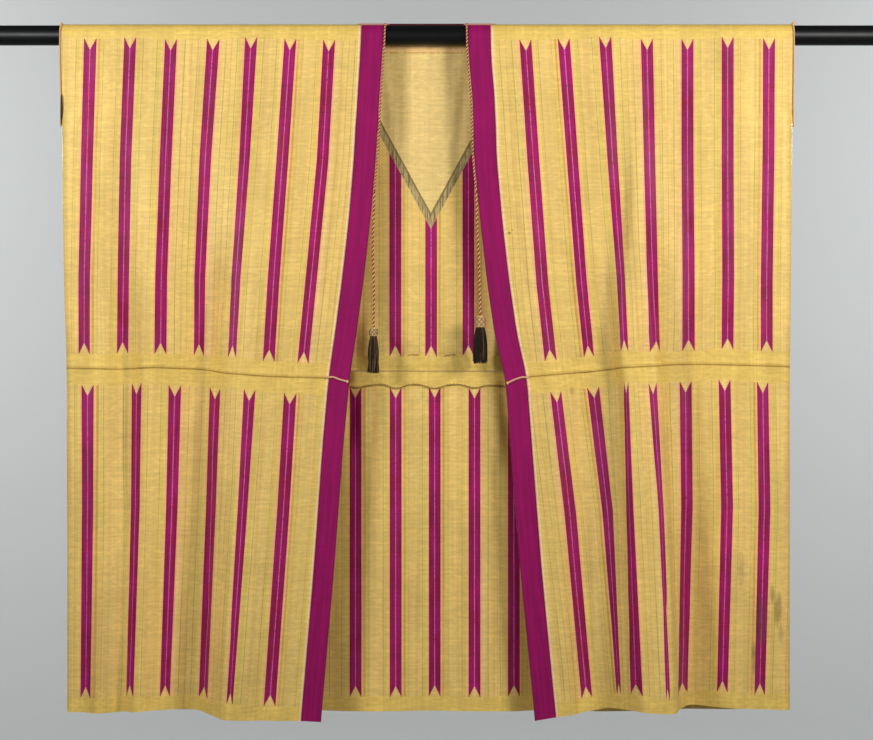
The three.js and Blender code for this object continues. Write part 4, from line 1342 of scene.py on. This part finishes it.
TIES = {
    "left": {
        "route": (
            (283.6, -95.6, 0), (310, -96.2, 0.6), (345, -97.6, 1.4), (385, -98.3, 0.9),
            (425, -97.4, 0.2), (465, -96.6, 0.6), (500, -97, 1.2), (526, -97.2, 1.2),
        ),
        "head": (7.3, 15.3),
        "skirt": (10.2, 67.5),
    },
    "right": {
        "route": (
            (283.6, 86.1, 0), (312, 87.6, 0.7), (345, 88.3, 1.3), (380, 89.9, 0.8),
            (415, 91.6, 0.3), (450, 92.2, 0.8), (480, 93.1, 1.3), (504, 93.6, 1.4),
        ),
        "head": (9.6, 21.6),
        "skirt": (14.2, 66.5),
    },
}
TIE_RADIUS = 2.25
TIE_PITCH = 8.0


def tie_points(side):
    exit_y = beside_edge(fronts[side], SHOULDER_ARC + NECK_CORD_DROP)[0, 1]
    return np.array([(x, exit_y - forward, -drop) for drop, x, forward in TIES[side]["route"]])


# A tassel's head: shares of its radius and of its height, from the top down.
HEAD_PROFILE = ((0.0, 0.02), (0.45, 0.05), (0.84, 0.2), (0.95, 0.45), (0.9, 0.75), (0.84, 1.0))
HEAD_SIDES = 28
WINDING_PITCH = 1.5
WINDING_STEPS = 22  # to a turn
WINDING_RADIUS = 0.72
NET_THREADS = 7
NET_RADIUS = 0.42
NET_TURN = 1.7  # how far a net thread winds round on its way down
STRANDS = 170
STRAND_RADII = (0.58, 0.46)
STRAND_POINTS = 9
TAN_SHARE = 0.16  # strands that are tan instead of dark
GOLDEN_ANGLE = 2.39996  # from each strand to the next, which spreads them evenly
TASSEL_THREADS = ("cream", "dark", "brown", "tan")
CREAM, DARK, BROWN, TAN = range(4)


def around(top, reach, angle, down):
    """A point below top, at a reach and an angle from the upright line through it."""
    return top[0] + reach * math.cos(angle), top[1] + reach * math.sin(angle), top[2] - down


def head_reach(share, radius):
    """The head's radius at a share of its height."""
    reaches, shares = zip(*HEAD_PROFILE)
    return np.interp(share, shares, reaches) * radius


def tassel_head(top, radius, height, seed):
    """A rounded core wound round with thread, under a net of two sets of crossing threads."""
    core = [around(top, across * radius, turn, down * height)
            for across, down in HEAD_PROFILE for turn in full_turn(HEAD_SIDES)]
    faces = turned_over(ring_faces(len(HEAD_PROFILE), HEAD_SIDES))
    faces.append(list(range(len(core) - HEAD_SIDES, len(core)))[::-1])
    parts = [(np.array(core), faces, CREAM)]

    turns = int(height / WINDING_PITCH)
    winding = []
    for t in np.linspace(0, 1, turns * WINDING_STEPS):
        share = 0.1 + 0.88 * t
        angle = t * turns * 2 * math.pi
        reach = head_reach(share, radius) + 0.3 + 0.25 * math.sin(angle * 0.37 + seed)
        winding.append(around(top, reach, angle, share * height))
    parts.append((*tube(np.array(winding), WINDING_RADIUS, 5), CREAM))

    for way in (-1, 1):
        for start in full_turn(NET_THREADS):
            net = []
            for t in np.linspace(0, 1, 12):
                share = 0.14 + 0.8 * t
                reach = head_reach(share, radius) + 1.05
                net.append(around(top, reach, start + way * t * NET_TURN, share * height))
            parts.append((*tube(np.array(net), NET_RADIUS, 4), BROWN))
    return parts


def tassel_skirt(top, root_radius, tip_radius, length, seed):
    """Many strands that spread a little, each with its own bend and length."""
    rng = np.random.default_rng(seed)
    radii = np.linspace(*STRAND_RADII, STRAND_POINTS)
    parts = []
    for strand in range(STRANDS):
        share = math.sqrt((strand + 0.5) / STRANDS)
        turn = strand * GOLDEN_ANGLE
        root, tip = root_radius * share, tip_radius * share
        cut = length * (1 - 0.1 * rng.random() - 0.03 * (1 - share))
        bend = rng.normal(0, 0.9, 2)
        shade = TAN if rng.random() < TAN_SHARE else DARK
        path = []
        for t in np.linspace(0, 1, STRAND_POINTS):
            flare = root + (tip - root) * (1 - (1 - t) ** 2)
            sway = bend * math.sin(t * math.pi * 1.3)
            path.append(np.add(around(top, flare, turn, t * cut), (*sway, 0)))
        parts.append((*tube(np.array(path), radii, 4), shade))
    return parts


def add_tassel(side, top, seed):
    radius, height = TIES[side]["head"]
    skirt, length = TIES[side]["skirt"]
    parts = tassel_head(top, radius, height, seed)
    parts += tassel_skirt(top - [0, 0, height * 0.97], radius * 0.78, skirt * 0.93, length, seed)
    piece = joined_mesh(f"tassel_{side}_threads", parts, [materials[name] for name in TASSEL_THREADS])
    return seat(piece, f"tassel_{side}")


def add_ties():
    for seed, side in enumerate(TIES, 5):
        points = tie_points(side)
        top = points[-1] + np.array([0, 0, -GAP])
        tassel = add_tassel(side, top, seed)
        piece = joined_mesh(f"cord_tie_{side}", twisted(points, TIE_RADIUS, TIE_PITCH),
                            [materials["red"], materials["cream"]])
        seat(piece, f"tie_cord_{side}")
        path = resampled(points, 2.0)


def add_waist_cords():
    radius, pitch = 1.9, 5.5
    out = BAND_MIDDLE + TRIM / 2 + GAP + radius
    rise = {"left": (-1, -2, 2, 5), "right": (1, 0, 3, 8)}
    for side, surface in fronts.items():
        us = np.array([-4.0, 8.0, 22.0, 36.0]) + FRONT_CLOTH - BAND
        v = surface.waist(us) + np.array(rise[side])
        points = on_surface(surface, us, v, out + front_height(surface, us, v))
        parts = twisted(points, radius, pitch)
        knot = points[-1]
        for tilt in (-0.6, 0.7):
            turns = np.linspace(0, 2 * math.pi, 25)
            loop = knot + np.stack([
                1.5 * np.cos(turns) * math.cos(tilt),
                0.9 * np.sin(turns),
                1.9 * np.cos(turns) * math.sin(tilt) + 1.2 * np.sin(turns),
            ], axis=1)
            parts.append((*tube(loop, 0.9, 6), 1))
        piece = joined_mesh(f"cord_waist_{side}", parts, [materials["pink"], materials["cream"]])
        seat(piece, f"waist_cord_{side}")


def slit_shadow_tube(points):
    """A dark brown tube, wound like thread, over the lowest stretch of an arm slit's edge: painted shadow
    of the slit's opening.
    """
    shadow_from = 100
    middle = resampled(points[points[:, 2] < -shadow_from], 2.0)
    swell = np.sin(np.linspace(0, math.pi, len(middle))) ** 0.5
    return [(*tube(middle + [1.6, 0, 0], 0.5 + 1.7 * swell, 8), 2)]


def thread_tuft(point):
    """A few loose ends of thread at the shoulder."""
    parts = []
    for k, (reach, rise) in enumerate(((7, 0), (6, 2.5), (5, -2.5), (7.5, 1.2))):
        path = [point, point + [reach * 0.4, -1 - 0.4 * k, rise + 1], point + [reach, -2 + k, rise - 1]]
        parts.append((*tube(resampled(path, 1.0), 0.7, 5), 1))
    return parts


def add_arm_cords():
    radius, pitch = 1.2, 4.0
    out = CLOTH / 2 + 3 * GAP + radius
    v = np.concatenate([
        np.linspace(GAP / 2, SHOULDER_ARC, 9),
        np.linspace(SHOULDER_ARC, SHOULDER_ARC + ARM_CORD_DROP, 16)[1:],
    ])
    for side, surface in fronts.items():
        back_u = radius if side == "left" else BACK_CLOTH - radius
        front_points = on_surface(surface, np.full_like(v, radius), v, out)
        back_points = on_surface(back, np.full_like(v, back_u), v, out)[::-1]
        parts = twisted(np.vstack([front_points, back_points]), radius, pitch, per_turn=8, sides=5)
        if side == "left":
            # The left slit gets a dark tube along its lower edge: painted shadow of the opening.
            parts += slit_shadow_tube(front_points)
        else:
            parts += thread_tuft(front_points[0])
        piece = joined_mesh(f"cord_arm_{side}", parts,
                            [materials["cream"], materials["cream"], materials["brown"]])
        seat(piece, f"arm_cord_{side}")


def add_rod():
    low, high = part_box("rod")
    half = (high[0] - low[0]) / 2 / MM
    bevel = 1.5
    sides = 96
    profile = [(-half, ROD_RADIUS - bevel), (-half + bevel * 0.3, ROD_RADIUS - bevel * 0.3),
               (-half + bevel, ROD_RADIUS), (half - bevel, ROD_RADIUS),
               (half - bevel * 0.3, ROD_RADIUS - bevel * 0.3), (half, ROD_RADIUS - bevel)]
    vertices = [(x * MM, radius * math.cos(turn) * MM, radius * math.sin(turn) * MM)
                for x, radius in profile for turn in full_turn(sides)]
    faces = turned_over(ring_faces(len(profile), sides))
    faces.append(list(range(sides)))
    faces.append(list(range(len(vertices) - sides, len(vertices)))[::-1])
    piece = make_object("rod_smooth", vertices, faces, [materials["rod"]])
    for polygon in piece.data.polygons:
        polygon.use_smooth = len(polygon.vertices) == 4
    seat(piece, "rod")


# ---- stage, camera and light ----


def add_camera():
    image_width = 873
    data = bpy.data.cameras.new("camera")
    data.lens = data.sensor_width * CAMERA["distance"] / (image_width * CAMERA["scale"])
    camera = bpy.data.objects.new("camera", data)
    camera.location = [CAMERA["x"] * MM, (CAMERA["front"] - CAMERA["distance"]) * MM, CAMERA["z"] * MM]
    camera.rotation_euler = (math.radians(90), 0, 0)
    bpy.context.scene.collection.objects.link(camera)
    bpy.context.scene.camera = camera


def add_stage():
    """A round pale room: a floor that bends up into the wall."""
    floor_z, radius, bend, wall_z, sides = -2.9, 6.8, 0.6, 3.6, 72
    profile = [(0.02, floor_z), (radius - bend, floor_z)]
    for turn in np.linspace(0, math.pi / 2, 10)[1:]:
        profile.append((radius - bend + bend * math.sin(turn), floor_z + bend - bend * math.cos(turn)))
    profile.append((radius, wall_z))
    vertices = [(reach * math.cos(turn), reach * math.sin(turn), z)
                for reach, z in profile for turn in full_turn(sides)]
    make_object("backdrop", vertices, ring_faces(len(profile), sides), [stage_material()])


def add_light(name, location, target, size, energy, colour=(1, 1, 1)):
    data = bpy.data.lights.new(name, "AREA")
    data.shape = "RECTANGLE"
    data.size, data.size_y = size
    data.energy, data.color = energy, colour
    light = bpy.data.objects.new(name, data)
    light.location = location
    light.rotation_euler = (Vector(target) - Vector(location)).to_track_quat("-Z", "Y").to_euler()
    light.visible_camera = False
    bpy.context.scene.collection.objects.link(light)


def add_lights():
    """Two lamps rake the fronts, two light the back, and four tall ones light the room's wall."""
    warm, cool, lamp = (1.0, 0.985, 0.96), (0.985, 0.99, 1.0), (0.45, 0.45)
    add_light("key", (1.5, -1.42, 0.1), (-0.5, 0, 0.1), lamp, 30, warm)
    add_light("fill", (-1.5, -1.42, 0.1), (0.5, 0, 0.1), lamp, 26, cool)
    for side in (-1, 1):
        add_light(f"rear_{side}", (1.6 * side, 1.7, 0.3), (-0.4 * side, 0, 0.0), (0.6, 0.6), 27)
        for end, energy in ((-1, 52), (1, 110)):
            place = (3.4 * side, 3.7 * end, 0.6)
            add_light(f"wall_{side}_{end}", place, (1.5 * side, 6.6 * end, -0.2), (0.6, 2.6), energy)
    world = bpy.data.worlds.new("studio")
    world.use_nodes = True
    world.node_tree.nodes["Background"].inputs[0].default_value = (0.92, 0.95, 0.97, 1)
    world.node_tree.nodes["Background"].inputs[1].default_value = 0.1
    bpy.context.scene.world = world
    bpy.context.scene.view_settings.view_transform = "Standard"


add_camera()
make_materials()
add_rod()
add_ties()
add_silks()
add_bands()
add_allowances()
add_overcasting()
add_neck_cord()
add_waist_cords()
add_arm_cords()
add_stage()
add_lights()
